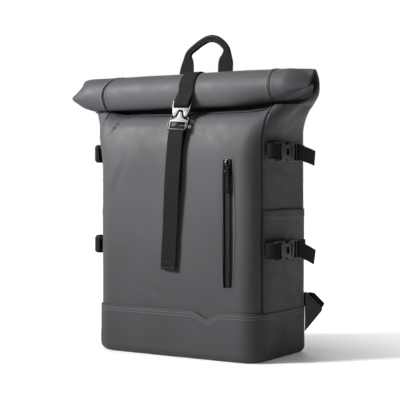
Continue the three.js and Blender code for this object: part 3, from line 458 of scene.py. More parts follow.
def crown_at(share):
    """How much of its crown the body has at a share of its height."""
    share = np.clip(share, 0, 1)
    i = np.clip(np.searchsorted(CROWN_HEIGHTS, share, side="right") - 1, 0, 2)
    t = (share - CROWN_HEIGHTS[i]) / (CROWN_HEIGHTS[i + 1] - CROWN_HEIGHTS[i])
    return CROWN_SHARES[i] + (CROWN_SHARES[i + 1] - CROWN_SHARES[i]) * smooth(t)


def polar(radius, degrees):
    """A point's Y and Z round the roll's middle."""
    a = np.radians(degrees)
    return np.stack([ROLL_Y + radius * np.cos(a), ROLL_Z + radius * np.sin(a)], -1)


def bezier(points, t):
    t = np.asarray(t, float)[..., None]
    u = 1 - t
    p = np.array(points, float)
    return u**3 * p[0] + 3 * u * u * t * p[1] + 3 * u * t * t * p[2] + t**3 * p[3]


def under_roll(degrees):
    """The radius of the front where it lies under the roll's first turn."""
    return ROLL_MID - FLAT_HALF - ROLL_PITCH * degrees / 360


RISE = ROLL_Z - SHOULDER_Z
FRONT_END = polar(under_roll(-SEAT_STEPS * STEP_DEGREES), -SEAT_STEPS * STEP_DEGREES)
FRONT_LINE = [
    (-BODY_DEPTH / 2, SHOULDER_Z),
    (-BODY_DEPTH / 2, SHOULDER_Z + 0.32 * RISE),
    (FRONT_END[0] - 0.17 * BODY_DEPTH, SHOULDER_Z + 0.56 * RISE),
    tuple(FRONT_END),
]
BACK_LINE = [
    (BODY_DEPTH / 2, SHOULDER_Z),
    (BODY_DEPTH / 2, SHOULDER_Z + 0.8 * RISE),
    (0.12 * BODY_DEPTH, SHOULDER_Z + 0.72 * RISE),
    tuple(polar(ROLL_MID + FLAT_HALF, 0)),
]


def tube_section(k):
    """Front point, back point, crown, roundness and pinch of the tube at stations k."""
    k = np.asarray(k, float)
    j = k - BODY_STEPS
    share = np.clip(j / NECK_STEPS, 0, 1)
    z = HEM_Z + np.interp(k, range(4), BODY_STOPS) * (SHOULDER_Z - HEM_Z)
    half = np.full_like(z, BODY_DEPTH / 2)
    degrees = (j - NECK_STEPS) * STEP_DEGREES
    seat = polar(under_roll(degrees), degrees)
    slope = bezier(FRONT_LINE, np.clip(j / SLOPE_STEPS, 0, 1))
    radius = ROLL_MID - ROLL_PITCH * degrees / 360
    in_body = (k <= BODY_STEPS)[..., None]
    in_slope = (j <= SLOPE_STEPS)[..., None]
    in_neck = (j <= NECK_STEPS)[..., None]
    front = np.where(
        in_body, np.stack([-half, z], -1),
        np.where(in_slope, slope, np.where(in_neck, seat, polar(radius - FLAT_HALF, degrees))),
    )
    back = np.where(
        in_body, np.stack([half, z], -1),
        np.where(in_neck, bezier(BACK_LINE, share**0.9), polar(radius + FLAT_HALF, degrees)),
    )
    crown = np.where(k <= BODY_STEPS, crown_at(z / SHOULDER_Z), crown_at(np.ones_like(z)) * (1 - share))
    turned = np.where(k <= BODY_STEPS, 0, np.clip((share - 0.3) / 0.5, 0, 1))
    pinch = np.clip(1 - (NECK_STEPS - j) / (SEAT_STEPS + 1), 0, 1)
    return front, back, crown, turned, pinch


def tube_point(k, s):
    """Middle of the wall at station k and distance s round the tube, from the middle of the front."""
    k, s = np.broadcast_arrays(np.asarray(k, float), np.asarray(s, float))
    front, back, crown, turned, pinch = tube_section(k)
    line = back - front
    length = np.linalg.norm(line, axis=-1)
    along = line / length[..., None]
    d = length / 2
    r = np.minimum(d, CORNER_RADIUS + (d - CORNER_RADIUS) * turned)
    w = QUARTER - d + (2 - math.pi / 2) * r
    s = np.where(s > 2 * QUARTER, s - 4 * QUARTER, s)
    side = np.where(s < 0, -1.0, 1.0)
    a = np.abs(s)
    flat = w - r
    bend = math.pi * r / 2
    straight = 2 * (d - r)
    t1 = (a - flat) / r
    t2 = (a - flat - bend - straight) / r
    stages = [a <= flat, a <= flat + bend, a <= flat + bend + straight, a <= flat + 2 * bend + straight]
    beyond = 2 * (flat + bend) + straight - a
    x = np.select(stages, [a, flat + r * np.sin(t1), w, flat + r * np.cos(t2)], beyond)
    depth = np.select(
        stages,
        [-d, -(d - r) - r * np.cos(t1), -(d - r) + (a - flat - bend), d - r + r * np.sin(t2)],
        d,
    )
    across = 1 - np.minimum(1, (x / w) ** 2)
    deep = 1 - np.minimum(1, (depth / d) ** 2)
    swell = np.where(depth < 0, -FRONT_CROWN, BACK_CROWN)
    depth = depth + swell * crown * across * np.minimum(1, np.abs(depth / d)) ** 4
    x = x + SIDE_CROWN * crown * deep
    middle = (front + back) / 2
    y = middle[..., 0] + depth * along[..., 0]
    z = middle[..., 1] + depth * along[..., 1]
    out = np.maximum(0, (x - PINCH_START) / (QUARTER - PINCH_START))
    inward = pinch * np.where(side < 0, PINCH_LEFT, PINCH_RIGHT) * out**2
    keep = 1 - inward / np.maximum(np.hypot(y - ROLL_Y, z - ROLL_Z), 1)
    return np.stack([side * x, ROLL_Y + (y - ROLL_Y) * keep, ROLL_Z + (z - ROLL_Z) * keep], -1)


def by_table(value, table):
    """Reads a value off a table of places and heights."""
    places, heights = zip(*table)
    return np.interp(value, places, heights)


def roll_ends(p, k):
    """The roll's front lip, its left end drawn to a blunt point, and its right end open and creased."""
    x, y, z = p[..., 0], p[..., 1] - ROLL_Y, p[..., 2] - ROLL_Z
    radius = np.maximum(np.hypot(y, z), 1e-6)
    angle = np.degrees(np.arctan2(z, y)) % 360
    rolled = smooth((k - NECK + 7) / 3)
    share = np.where(k < NECK + 9, 1, 1 - smooth((k - NECK - 9) / 3) * (1 - radius / ROLL_RADIUS)) * rolled
    ends = np.clip((np.abs(x) - PINCH_START) / PINCH_LENGTH, 0, 1.1)
    push = share * ends**END_GROWTH * np.where(x < 0, by_table(angle, LEFT_END), by_table(angle, RIGHT_END))
    lifted = (k > NECK + 5) * (k < NECK + 10) * by_table(angle, RIGHT_LIFT) * by_table(x, LIFT_ALONG)
    drop = by_table(k - NECK, LIP) * by_table(x, LIP_ALONG) - lifted
    inner = smooth((k - NECK - 9) / 4)
    drawn = np.where(x > 0, DRAWN_RIGHT, DRAWN_LEFT) * inner * smooth((np.abs(x) - 110) / (QUARTER - 110))
    slide = np.where(x < 0, by_table(angle, LEFT_SEAM), by_table(angle, RIGHT_SEAM))
    slide = slide * rolled * np.exp(-(((np.abs(x) - FRONT_SEAM) / 30) ** 2)) * (k < NECK + 10)
    slide = slide + np.where(x < 0, by_table(angle, LEFT_CUT), 0) * ends**1.5 * share
    forward = LIP_LEAN * np.maximum(drop, 0)
    curl = CURL_DEPTH * smooth((k - LAST + 5) / 5) * smooth((165 - np.abs(x)) / 90)
    p = p + np.stack([0 * curl, curl * math.cos(CURL_WAY), curl * math.sin(CURL_WAY)], -1)
    moved = slide - np.sign(x) * drawn, push * y / radius - forward, push * z / radius - drop
    return p + np.stack(moved, -1)


def cloth_point(k, s):
    return roll_ends(tube_point(k, s), np.broadcast_to(np.asarray(k, float), np.broadcast(k, s).shape))


def tube_normal(k, s, place=None):
    place = place or tube_point
    k = np.asarray(k, float)
    around = place(k, s + 0.05) - place(k, s - 0.05)
    up = place(np.minimum(k + 0.02, LAST), s) - place(np.maximum(k - 0.02, 0), s)
    return unit(np.cross(around, up))


def make_waves(seed, count, shortest, longest):
    random = np.random.RandomState(seed)
    length = random.uniform(shortest, longest, count)
    way = unit(random.normal(size=(count, 3)) * (1, 0.7, 1))
    return way * (2 * math.pi / length)[:, None], random.uniform(0, 2 * math.pi, count)


SLOW_WAVES = make_waves(11, 9, 85, 210)
QUICK_WAVES = make_waves(23, 12, 26, 60)


def waves(p, table):
    """A smooth random swell between about -1 and 1 at points p."""
    ways, phases = table
    return np.sin(p @ ways.T + phases).sum(-1) / math.sqrt(len(phases)) * 0.8


def bump(value, middle, half):
    """1 at the middle, falling smoothly to 0 at half either side."""
    return smooth(1 - np.abs(value - middle) / half)


def crease(a, b, start, end, depth, wide):
    """A fold along the line from start to end: sunk on it, and standing up a little on one side."""
    start, end = np.array(start, float), np.array(end, float)
    along = unit(end - start)
    length = np.linalg.norm(end - start)
    t = ((a - start[0]) * along[0] + (b - start[1]) * along[1]) / length
    off = (a - start[0]) * along[1] - (b - start[1]) * along[0]
    reach = smooth((t + 0.25) / 0.4) * smooth((1.25 - t) / 0.4)
    ridge = 0.75 * np.exp(-(((off - 1.3 * wide) / (1.6 * wide)) ** 2))
    return depth * reach * (ridge - np.exp(-((off / wide) ** 2)))


def swell(k, s, p):
    """How far the fabric stands out of its plain shape: slack, seam grooves and folds."""
    a = np.abs(np.where(s > 2 * QUARTER, 4 * QUARTER - s, s))
    loose = by_table(k, SLACK)
    near_seam = np.minimum(np.abs(a - FRONT_SEAM), np.abs(a - BACK_SEAM))
    freedom = smooth(near_seam / 18)
    small = QUICK_DEPTH * by_table(k, CALM) * waves(p, QUICK_WAVES)
    out = loose * (SLOW_DEPTH * waves(p, SLOW_WAVES) + small) * (0.25 + 0.75 * freedom)
    deepest = np.where(p[..., 0] < 0, SEAM_LEFT, SEAM_RIGHT)
    groove = 1 + (deepest - 1) * np.interp(k, [8, 12], [0, 1]) - 0.9 * np.interp(k, [22, 25], [0, 1])
    out = out - groove * np.exp(-((near_seam / SEAM_WIDTH) ** 2))
    out = out + RIDGE * groove * np.exp(-(((near_seam - RIDGE_PLACE) / RIDGE_WIDTH) ** 2))
    pucker = np.sin(p[..., 2] * 0.62 + np.sin(p[..., 2] * 0.17) * 2) * np.exp(-((near_seam - 5) / 5) ** 2)
    out = out + 0.14 * loose * pucker
    out = out - by_table(k, RECESS) * by_table(a, RECESS_ROUND)
    out = out - bump(a, QUARTER, GUSSET_EDGE) ** 2 * by_table(k, GUSSET_SINK)
    in_body = smooth((NECK - 1.5 - k) / 1.5)
    for line in FRONT_CREASES:
        out = out + in_body * (a < FRONT_SEAM) * crease(p[..., 0], p[..., 2], *line)
    for line in SIDE_CREASES:
        out = out + in_body * (a > FRONT_SEAM) * crease(p[..., 1], p[..., 2], *line)
    return out


def skin(k, s, lift=0.0):
    """Outer face of the fabric at station k and distance s, with its normal."""
    k, s = np.broadcast_arrays(np.asarray(k, float), np.asarray(s, float))
    p = cloth_point(k, s)
    n = tube_normal(k, s, cloth_point)
    out = swell(k, s, p) + WALL / 2
    return p + n * (out + lift)[..., None], n


def station_at(z, s):
    """The station at which the line at distance s round the tube reaches the height z."""
    z, s = np.broadcast_arrays(np.asarray(z, float), np.asarray(s, float))
    found = np.empty(z.shape)
    for i in np.ndindex(z.shape):
        top = NECK if abs(s[i]) > QUARTER else BODY_STEPS + SLOPE_STEPS
        k = np.linspace(0, top, 220)
        heights = np.maximum.accumulate(tube_point(k, s[i])[:, 2])
        found[i] = np.interp(z[i], heights, k)
    return found


def nodes_of(name):
    """A new material, with its tree, its shader and its Object coordinates."""
    material = bpy.data.materials.new(name)
    material.use_nodes = True
    tree = material.node_tree
    place = tree.nodes.new("ShaderNodeTexCoord").outputs["Object"]
    return material, tree, tree.nodes["Principled BSDF"], place


def set_inputs(node, **values):
    """Sets inputs by name, with a space for each underscore."""
    for key, value in values.items():
        node.inputs[key.replace("_", " ")].default_value = value


def add_node(tree, kind, **values):
    node = tree.nodes.new(kind)
    for key, value in values.items():
        if key in node.inputs:
            node.inputs[key].default_value = value
        else:
            setattr(node, key, value)
    return node


def wire(tree, source, target):
    tree.links.new(source, target)
    return target


def ramp(tree, source, target, low, high, start=0.3, end=0.7):
    """A blend of two colours, or of two greys given as numbers, wired into target if there is one."""
    node = tree.nodes.new("ShaderNodeValToRGB")
    for stop, position, colour in zip(node.color_ramp.elements, (start, end), (low, high)):
        stop.position = position
        stop.color = colour if isinstance(colour, tuple) else grey(colour)
    wire(tree, source, node.inputs["Fac"])
    if target:
        wire(tree, node.outputs["Color"], target)
    return node.outputs["Color"]


def map_range(tree, source, target, values):
    """A smooth step from source to target; values are its two limits, then what they give."""
    node = add_node(tree, "ShaderNodeMapRange", interpolation_type="SMOOTHSTEP")
    for socket, value in zip(("From Min", "From Max", "To Min", "To Max"), values):
        node.inputs[socket].default_value = value
    wire(tree, source, node.inputs["Value"])
    wire(tree, node.outputs["Result"], target)


def grey(value, warm=0.0):
    return (value * (1 + warm), value, value * (1 - warm), 1)


def noise(tree, place, scale, detail=3.0, rough=0.55):
    node = add_node(tree, "ShaderNodeTexNoise", Scale=scale, Detail=detail, Roughness=rough)
    wire(tree, place, node.inputs["Vector"])
    return node.outputs["Fac"]


def math_node(tree, operation, a, b=0.0):
    node = tree.nodes.new("ShaderNodeMath")
    node.operation = operation
    for i, value in enumerate((a, b)):
        if isinstance(value, (int, float)):
            node.inputs[i].default_value = value
        else:
            wire(tree, value, node.inputs[i])
    return node.outputs[0]


def bump_chain(tree, shader, layers):
    """Bump nodes in a row; a layer is a height, its strength and its depth in metres."""
    nodes = []
    for height, strength, depth in layers:
        nodes.append(add_node(tree, "ShaderNodeBump", Strength=strength, Distance=depth))
        wire(tree, height, nodes[-1].inputs["Height"])
    for node, after in zip(nodes, nodes[1:] + [shader]):
        wire(tree, node.outputs["Normal"], after.inputs["Normal"])


def coated_fabric(name, dark, light, rough=(0.52, 0.64)):
    """Matt polyurethane-coated cloth: a fine pebbled grain over the faint lines of its weave."""
    material, tree, shader, place = nodes_of(name)
    low, high = ((*(v * share for share in FABRIC_TINT), 1) for v in (dark, light))
    ramp(tree, noise(tree, place, 9, 4), shader.inputs["Base Color"], low, high, 0.3, 0.72)
    ramp(tree, noise(tree, place, 60, 4), shader.inputs["Roughness"], *rough)
    set_inputs(shader, Specular_IOR_Level=0.16)
    grain = add_node(tree, "ShaderNodeTexVoronoi", Scale=1150.0)
    wire(tree, place, grain.inputs["Vector"])
    bump_chain(tree, shader, [
        (noise(tree, place, 55, 5, 0.62), 0.07, 0.0012),
        (noise(tree, place, 420, 3), 0.12, 0.0003),
        (grain.outputs["Distance"], 0.22, 0.00012),
    ])
    return material


def webbing_cloth(name, dark, light, rib=0.0021, rough=0.78):
    """Woven tape: ribs along its length crossed by a broken twill, from the piece's own UV in metres."""
    material, tree, shader, place = nodes_of(name)
    split = tree.nodes.new("ShaderNodeSeparateXYZ")
    wire(tree, place.node.outputs["UV"], split.inputs[0])
    u, v = split.outputs[0], split.outputs[1]
    turn = 2 * math.pi
    phase = math_node(tree, "MULTIPLY", u, turn / rib / 2)
    across = math_node(tree, "ABSOLUTE", math_node(tree, "SINE", phase))
    zigzag = math_node(tree, "MULTIPLY", math_node(tree, "PINGPONG", u, rib * 2), turn / rib * 0.8)
    slant = math_node(tree, "ADD", math_node(tree, "MULTIPLY", v, turn / PICK_LENGTH), zigzag)
    picks = math_node(tree, "MULTIPLY_ADD", math_node(tree, "SINE", slant), 0.5)
    picks.node.inputs[2].default_value = 0.5
    height = math_node(tree, "MULTIPLY", across, picks)
    ramp(tree, height, shader.inputs["Base Color"], grey(dark, 0.02), grey(light, 0.02), 0.0, 0.8)
    set_inputs(shader, Roughness=rough, Specular_IOR_Level=0.05)
    bump_chain(tree, shader, [(noise(tree, place, 900, 2), 0.15, 0.0002), (height, 0.75, 0.00045)])
    return material


def moulded_plastic(name, value, rough):
    """Slightly uneven plastic with a fine grain."""
    material, tree, shader, place = nodes_of(name)
    ramp(tree, noise(tree, place, 120, 3), shader.inputs["Base Color"], value * 0.8, value * 1.25)
    ramp(tree, noise(tree, place, 240, 3), shader.inputs["Roughness"], rough - 0.06, rough + 0.08)
    set_inputs(shader, Specular_IOR_Level=0.16)
    bump_chain(tree, shader, [(noise(tree, place, 2600, 2), 0.25, 0.00006)])
    return material


def brushed_metal(name, value, rough, scratch=0.35):
    """Metal with fine lines across it."""
    material, tree, shader, place = nodes_of(name)
    stretch = add_node(tree, "ShaderNodeMapping", Scale=(40, 600, 3500))
    wire(tree, place, stretch.inputs["Vector"])
    lines = noise(tree, stretch.outputs["Vector"], 1, 3)
    ramp(tree, noise(tree, place, 90, 3), shader.inputs["Base Color"], value * 0.86, value)
    ramp(tree, lines, shader.inputs["Roughness"], rough - 0.07, rough + 0.1)
    set_inputs(shader, Metallic=1)
    bump_chain(tree, shader, [(lines, scratch, 0.00005)])
    return material


def air_mesh(name):
    """Knitted spacer mesh: staggered round holes in black cloth."""
    material, tree, shader, place = nodes_of(name)
    cells = add_node(tree, "ShaderNodeTexVoronoi", Scale=330.0, Randomness=0.25)
    wire(tree, place, cells.inputs["Vector"])
    ramp(tree, cells.outputs["Distance"], shader.inputs["Base Color"], 0.004, 0.026, 0.15, 0.5)
    set_inputs(shader, Roughness=0.9, Sheen_Weight=0.12)
    hole = ramp(tree, cells.outputs["Distance"], None, 0.0, 1.0, 0.18, 0.5)
    bump_chain(tree, shader, [(noise(tree, place, 700, 2), 0.2, 0.0003), (hole, 0.8, 0.0009)])
    return material


def thread(name, value):
    """Twisted sewing thread."""
    material, tree, shader, place = nodes_of(name)
    twist = noise(tree, place, 1500, 2)
    ramp(tree, twist, shader.inputs["Base Color"], value * 0.75, value)
    set_inputs(shader, Roughness=0.6)
    bump_chain(tree, shader, [(twist, 0.4, 0.0002)])
    return material


FABRIC = coated_fabric("coated_fabric_grey", 0.031, 0.037)
FABRIC_BASE = coated_fabric("coated_fabric_base", 0.031, 0.036)
WELT = coated_fabric("coated_fabric_welt", 0.022, 0.03, (0.42, 0.55))
# A near-black copy of the welt: painted shade, standing for the shade in the seam grooves it is swept into
WELT_PAINTED_SHADE = coated_fabric("coated_fabric_welt_painted_shade", 0.004, 0.008, (0.6, 0.7))
WEBBING = webbing_cloth("webbing_black", 0.0008, 0.02)
BINDING = webbing_cloth("binding_tape", 0.001, 0.008, 0.0012)
TAPE = webbing_cloth("zip_tape_cloth", 0.003, 0.009, 0.001, 0.6)
PLASTIC = moulded_plastic("plastic_black", 0.004, 0.4)
COIL = moulded_plastic("zip_coil", 0.007, 0.34)
SILVER = brushed_metal("satin_silver", 0.036, 0.42, 0.1)
GUNMETAL = brushed_metal("gunmetal", 0.06, 0.2)
BLACK_METAL = brushed_metal("black_metal", 0.011, 0.22)
MESH_CLOTH = air_mesh("air_mesh")
THREAD = thread("thread_grey", 0.13)
THREAD_BLACK = thread("thread_black", 0.02)


def link(name, data):
    """A new object with this data, in the scene."""
    thing = bpy.data.objects.new(name, data)
    bpy.context.scene.collection.objects.link(thing)
    return thing


def place_piece(piece, stands_for=(), body="bag"):
    """Joins a piece to its body, and hides the CAD parts it stands for."""
    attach(piece, body)
    if stands_for:
        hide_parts(*stands_for)
    return piece


def mesh_piece(name, points, faces, material, stands_for=(), slot=None, body="bag", uv=None, sharp=None,
               fix=True):
    """One object from millimetre points; uv gives a point's place on the flat cloth in metres."""
    mesh = bpy.data.meshes.new(name)
    mesh.from_pydata((np.asarray(points, float) * MM).tolist(), [], [list(map(int, f)) for f in faces])
    if uv is not None:
        layer = mesh.uv_layers.new(name="cloth")
        index = np.empty(len(mesh.loops), int)
        mesh.loops.foreach_get("vertex_index", index)
        layer.data.foreach_set("uv", np.asarray(uv, float)[index].ravel())
    if fix:
        work = bmesh.new()
        work.from_mesh(mesh)
        bmesh.ops.recalc_face_normals(work, faces=work.faces)
        work.to_mesh(mesh)
        work.free()
    mesh.materials.append(material)
    mesh.shade_smooth()
    if sharp is not None:
        mesh.set_sharp_from_angle(angle=math.radians(sharp))
    return place_piece(link(name, mesh), stands_for, body)


def shell(name, outer, inner, material, keep=None, closed=False, uv=None, **rest):
    """A sheet with two faces and a rim, from two grids of points."""
    rows, columns = outer.shape[:2]
    ids = np.arange(rows * columns).reshape(rows, columns)
    if closed:
        ids = np.hstack([ids, ids[:, :1]])
    quads = np.stack([ids[:-1, :-1], ids[:-1, 1:], ids[1:, 1:], ids[1:, :-1]], -1)
    quads = quads[keep] if keep is not None else quads.reshape(-1, 4)
    edges = set()
    for q in quads.tolist():
        edges.update(zip(q, q[1:] + q[:1]))
    size = rows * columns
    rim = [(a, a + size, b + size, b) for a, b in edges if (b, a) not in edges]
    faces = quads.tolist() + (quads[:, ::-1] + size).tolist() + rim
    flat = None if uv is None else np.vstack([uv.reshape(-1, 2)] * 2)
    points = np.vstack([outer.reshape(-1, 3), inner.reshape(-1, 3)])
    return mesh_piece(name, points, faces, material, uv=flat, fix=False, sharp=50, **rest)


def curve_through(points, step, values=()):
    """Catmull-Rom curve through points, with other columns of values carried along."""
    columns = [np.asarray(v, float).reshape(len(points), -1) for v in (points, *values)]
    data = np.hstack(columns)
    padded = np.vstack([2 * data[0] - data[1], data, 2 * data[-1] - data[-2]])
    out = []
    for i in range(1, len(padded) - 2):
        a, b, c, d = padded[i - 1 : i + 3]
        n = max(2, int(math.ceil(np.linalg.norm(c[:3] - b[:3]) / step)))
        la, lb, lc = (max(np.linalg.norm(q[:3] - p[:3]), 1e-6) for p, q in ((a, b), (b, c), (c, d)))
        mb = c - b if la < 1e-5 else ((b - a) / la * lb + (c - b)) / 2
        mc = ((c - b) + (d - c) / lc * lb) / 2
        for t in np.linspace(0, 1, n, endpoint=False):
            h = (2 * t**3 - 3 * t**2 + 1, t**3 - 2 * t**2 + t, -2 * t**3 + 3 * t**2, t**3 - t**2)
            out.append(h[0] * b + h[1] * mb + h[2] * c + h[3] * mc)
    out.append(padded[-2])
    return np.array(out)


def closed_line(loop, step):
    """A closed loop of X and Z as a smooth line of points with Y = 0."""
    x, z = np.array(loop + loop[:1]).T
    return curve_through(np.column_stack([x, 0 * x, z]), step)


def tangents(points):
    return unit(np.gradient(points, axis=0))


def distances(points):
    """The length along a line at each of its points."""
    return np.concatenate([[0], np.cumsum(np.linalg.norm(np.diff(points, axis=0), axis=1))])


def oval(wide, deep, count):
    """Points round an ellipse, as a profile to sweep."""
    turns = np.linspace(0, 2 * math.pi, count, endpoint=False)
    return [(wide * math.cos(a), deep * math.sin(a)) for a in turns]


def ring_faces(rings, count, first=0):
    """Faces of a closed solid built of rings with count points each, numbered from first."""
    faces = []
    for r in range(rings - 1):
        for i in range(count):
            a, b = first + r * count + i, first + r * count + (i + 1) % count
            faces.append((a, b, b + count, a + count))
    faces.append(tuple(range(first + count - 1, first - 1, -1)))
    faces.append(tuple(range(first + (rings - 1) * count, first + rings * count)))
    return faces


def tape_profile(width, thickness, pieces=8):
    """Half of a flat tape's section, with rounded edges: across, then out."""
    w, t = width / 2, thickness / 2
    flat, edge = w - 1.1 * t, w - 0.55 * t
    side = [(w - 0.1 * t, -0.5 * t), (w, 0), (w - 0.1 * t, 0.5 * t), (edge, 0.9 * t)]
    top = [(x, t) for x in np.linspace(flat, -flat, pieces + 1)]
    far = [(-x, z) for x, z in reversed(side)]
    bottom = [(x, -t) for x in np.linspace(-flat, flat, pieces + 1)]
    return side + top + far + [(-edge, -0.9 * t)] + bottom + [(edge, -0.9 * t)]


def sweep(name, centre, normal, profiles, material, **rest):
    """A closed solid swept along a line; each station has its own section of the same length."""
    along = tangents(centre)
    across = unit(np.cross(along, normal))
    out = unit(np.cross(across, along))
    profiles = np.asarray(profiles, float)
    if profiles.ndim == 2:
        profiles = np.repeat(profiles[None], len(centre), 0)
    points = centre[:, None] + across[:, None] * profiles[..., :1] + out[:, None] * profiles[..., 1:2]
    n, m = points.shape[:2]
    ids = np.arange(n * m).reshape(n, m)
    wrap = np.hstack([ids, ids[:, :1]])
    quads = np.stack([wrap[:-1, :-1], wrap[:-1, 1:], wrap[1:, 1:], wrap[1:, :-1]], -1).reshape(-1, 4)
    faces = quads.tolist() + [ids[0].tolist(), ids[-1][::-1].tolist()]
    length = np.repeat(distances(centre)[:, None], m, 1)
    uv = np.stack([profiles[..., 0] + 50, length], -1).reshape(-1, 2) * MM
    return mesh_piece(name, points.reshape(-1, 3), faces, material, uv=uv, sharp=60, **rest)


def ribbon(name, path, across, width, thickness=WEB, material=WEBBING, step=2.0, curl=0.0, **rest):
    """Webbing of one width along a path, lying flat across a direction."""
    centre = curve_through(path, step)
    along = tangents(centre)
    normal = unit(np.cross(np.broadcast_to(across, along.shape), along))
    profile = np.array(tape_profile(width, thickness))
    profile[:, 1] += curl * (profile[:, 0] / (width / 2)) ** 2
    return sweep(name, centre, normal, profile, material, **rest)


def at_distance(value, distance, columns):
    return np.array([np.interp(value, distance, columns[:, i]) for i in range(3)])


def stitches(name, lines, pitch=3.6, length=2.7, radius=0.42, material=THREAD_BLACK, slot="webbing"):
    """Rows of sewn stitches: each line is its points and the outward normals there."""
    points, faces = [], []
    for line, normals in lines:
        line, normals = np.asarray(line, float), np.asarray(normals, float)
        distance = distances(line)
        count = max(1, int(distance[-1] / pitch))
        for at in (np.arange(count) + 0.5) * distance[-1] / count:
            centre = at_distance(at, distance, line)
            ahead = at_distance(min(at + 1, distance[-1]), distance, line)
            along = unit(ahead - at_distance(max(at - 1, 0), distance, line))
            out = unit(at_distance(at, distance, normals))
            side = unit(np.cross(out, along))
            faces += ring_faces(len(GRAIN), 6, len(points))
            for step, wide in GRAIN:
                for across, up in oval(1, 0.8, 6):
                    middle = centre + along * step * length / 2
                    points.append(middle + (side * across + out * up) * radius * wide)
    return mesh_piece(name, points, faces, material, slot=slot)


def plate(outline, holes=(), thickness=2.0, round_edge=0.4, steps=2):
    """A flat plate in X and Z with rounded edges, as points and faces about Y = 0."""
    curve = bpy.data.curves.new("outline", "CURVE")
    curve.dimensions = "2D"
    curve.fill_mode = "BOTH"
    for loop in (outline, *holes):
        spline = curve.splines.new("POLY")
        spline.points.add(len(loop) - 1)
        for point, (x, z) in zip(spline.points, loop):
            point.co = (x, z, 0, 1)
        spline.use_cyclic_u = True
    curve.extrude = thickness / 2 - round_edge
    curve.bevel_depth = round_edge
    curve.bevel_resolution = steps
    curve.offset = -round_edge
    holder = link("outline", curve)
    bpy.context.view_layer.update()
    mesh = bpy.data.meshes.new_from_object(holder.evaluated_get(bpy.context.evaluated_depsgraph_get()))
    work = bmesh.new()
    work.from_mesh(mesh)
    bmesh.ops.remove_doubles(work, verts=work.verts, dist=1e-4)
    bmesh.ops.recalc_face_normals(work, faces=work.faces)
    points = np.array([v.co[:] for v in work.verts])
    faces = [[v.index for v in f.verts] for f in work.faces]
    work.free()
    bpy.data.objects.remove(holder)
    bpy.data.curves.remove(curve)
    bpy.data.meshes.remove(mesh)
    return np.stack([points[:, 0], -points[:, 2], points[:, 1]], -1), faces


def merge(parts):
    """Several bodies, each its points and faces, as one."""
    points, faces, start = [], [], 0
    for p, f in parts:
        points.append(np.asarray(p, float))
        faces.extend([[i + start for i in face] for face in f])
        start += len(p)
    return np.vstack(points), faces


def rounded_box(size, centre, radius=0.5, steps=2):
    """Points and faces of a box with rounded edges."""
    work = bmesh.new()
    bmesh.ops.create_cube(work, size=1)
    for v in work.verts:
        v.co = Vector([c * s for c, s in zip(v.co, size)])
    bmesh.ops.bevel(work, geom=work.edges[:], offset=radius, segments=steps, affect="EDGES", profile=0.5)
    points = np.array([v.co[:] for v in work.verts]) + np.array(centre, float)
    faces = [[v.index for v in f.verts] for f in work.faces]
    work.free()
    return points, faces


def paired_boxes(table, half):
    """Boxes on both sides of a part of this half width."""
    return [rounded_box(size, (sign * (half - inset), y, z), *edge)
            for size, inset, y, z, *edge in table for sign in (-1, 1)]


def rod(start, end, radius, sides=16):
    """Points and faces of a round bar with softened ends."""
    start, end = np.array(start, float), np.array(end, float)
    along = unit(end - start)
    side = unit(np.cross(along, (0.3, 0.5, 0.81)))
    out = np.cross(along, side)
    rings = [(0, 0.75), (0.12 * radius, 0.93), (0.35 * radius, 1)]
    length = np.linalg.norm(end - start)
    stops = rings + [(length - a, b) for a, b in reversed(rings)]
    around = oval(radius, radius, sides)
    points = [start + along * a + (side * u + out * v) * b for a, b in stops for u, v in around]
    return np.array(points), ring_faces(len(stops), sides)


def rounded(width, height, radius, x=0.0, z=0.0, steps=6):
    """A rectangle about X and Z with round corners."""
    w, h = width / 2 - radius, height / 2 - radius
    out = []
    for cx, cz, first in ((w, -h, -90), (w, h, 0), (-w, h, 90), (-w, -h, 180)):
        out += arc(x + cx, z + cz, radius, first, first + 90, steps - 1)
    return out


def arc(a, b, radius, start, end, steps):
    """Points along an arc about a and b, from one angle to another in degrees."""
    turns = np.radians(np.linspace(start, end, steps + 1))
    return [(a + radius * math.cos(t), b + radius * math.sin(t)) for t in turns]


def graded(first, last, step, exact=()):
    """Values about a step apart, with some that are hit exactly."""
    values = np.linspace(first, last, max(2, round(abs(last - first) / step) + 1))
    exact = np.asarray(exact, float)
    if len(exact):
        values = values[np.abs(values[:, None] - exact).min(1) > 0.45 * step]
    return np.unique(np.concatenate([values, exact, [first, last]]))


def tube_rows(exact=()):
    """Stations of the panels' rows of points."""
    rows = np.concatenate([BODY_K, np.arange(BODY_STEPS, NECK, 0.16), np.arange(NECK, LAST, 0.2), [LAST]])
    for value in exact:
        rows = rows[np.abs(rows - value) > 0.02]
    return np.unique(np.concatenate([rows, exact]))


def panel(name, node, stops, rows, keep=None):
    """One panel of the bag's tube, from its hem through to the mouth inside the roll."""
    k, s = rows[:, None], stops[None]
    p = cloth_point(k, s)
    n = tube_normal(k, s, cloth_point)
    out = swell(*np.broadcast_arrays(k, s), p)[..., None]
    length = distances(p[:, p.shape[1] // 2])
    uv = np.stack(np.broadcast_arrays(s, length[:, None]), -1) * MM
    return shell(name, p + n * (out + WALL / 2), p + n * (out - WALL / 2), FABRIC, keep=keep, uv=uv,
                 stands_for=[node], slot="coated_fabric")


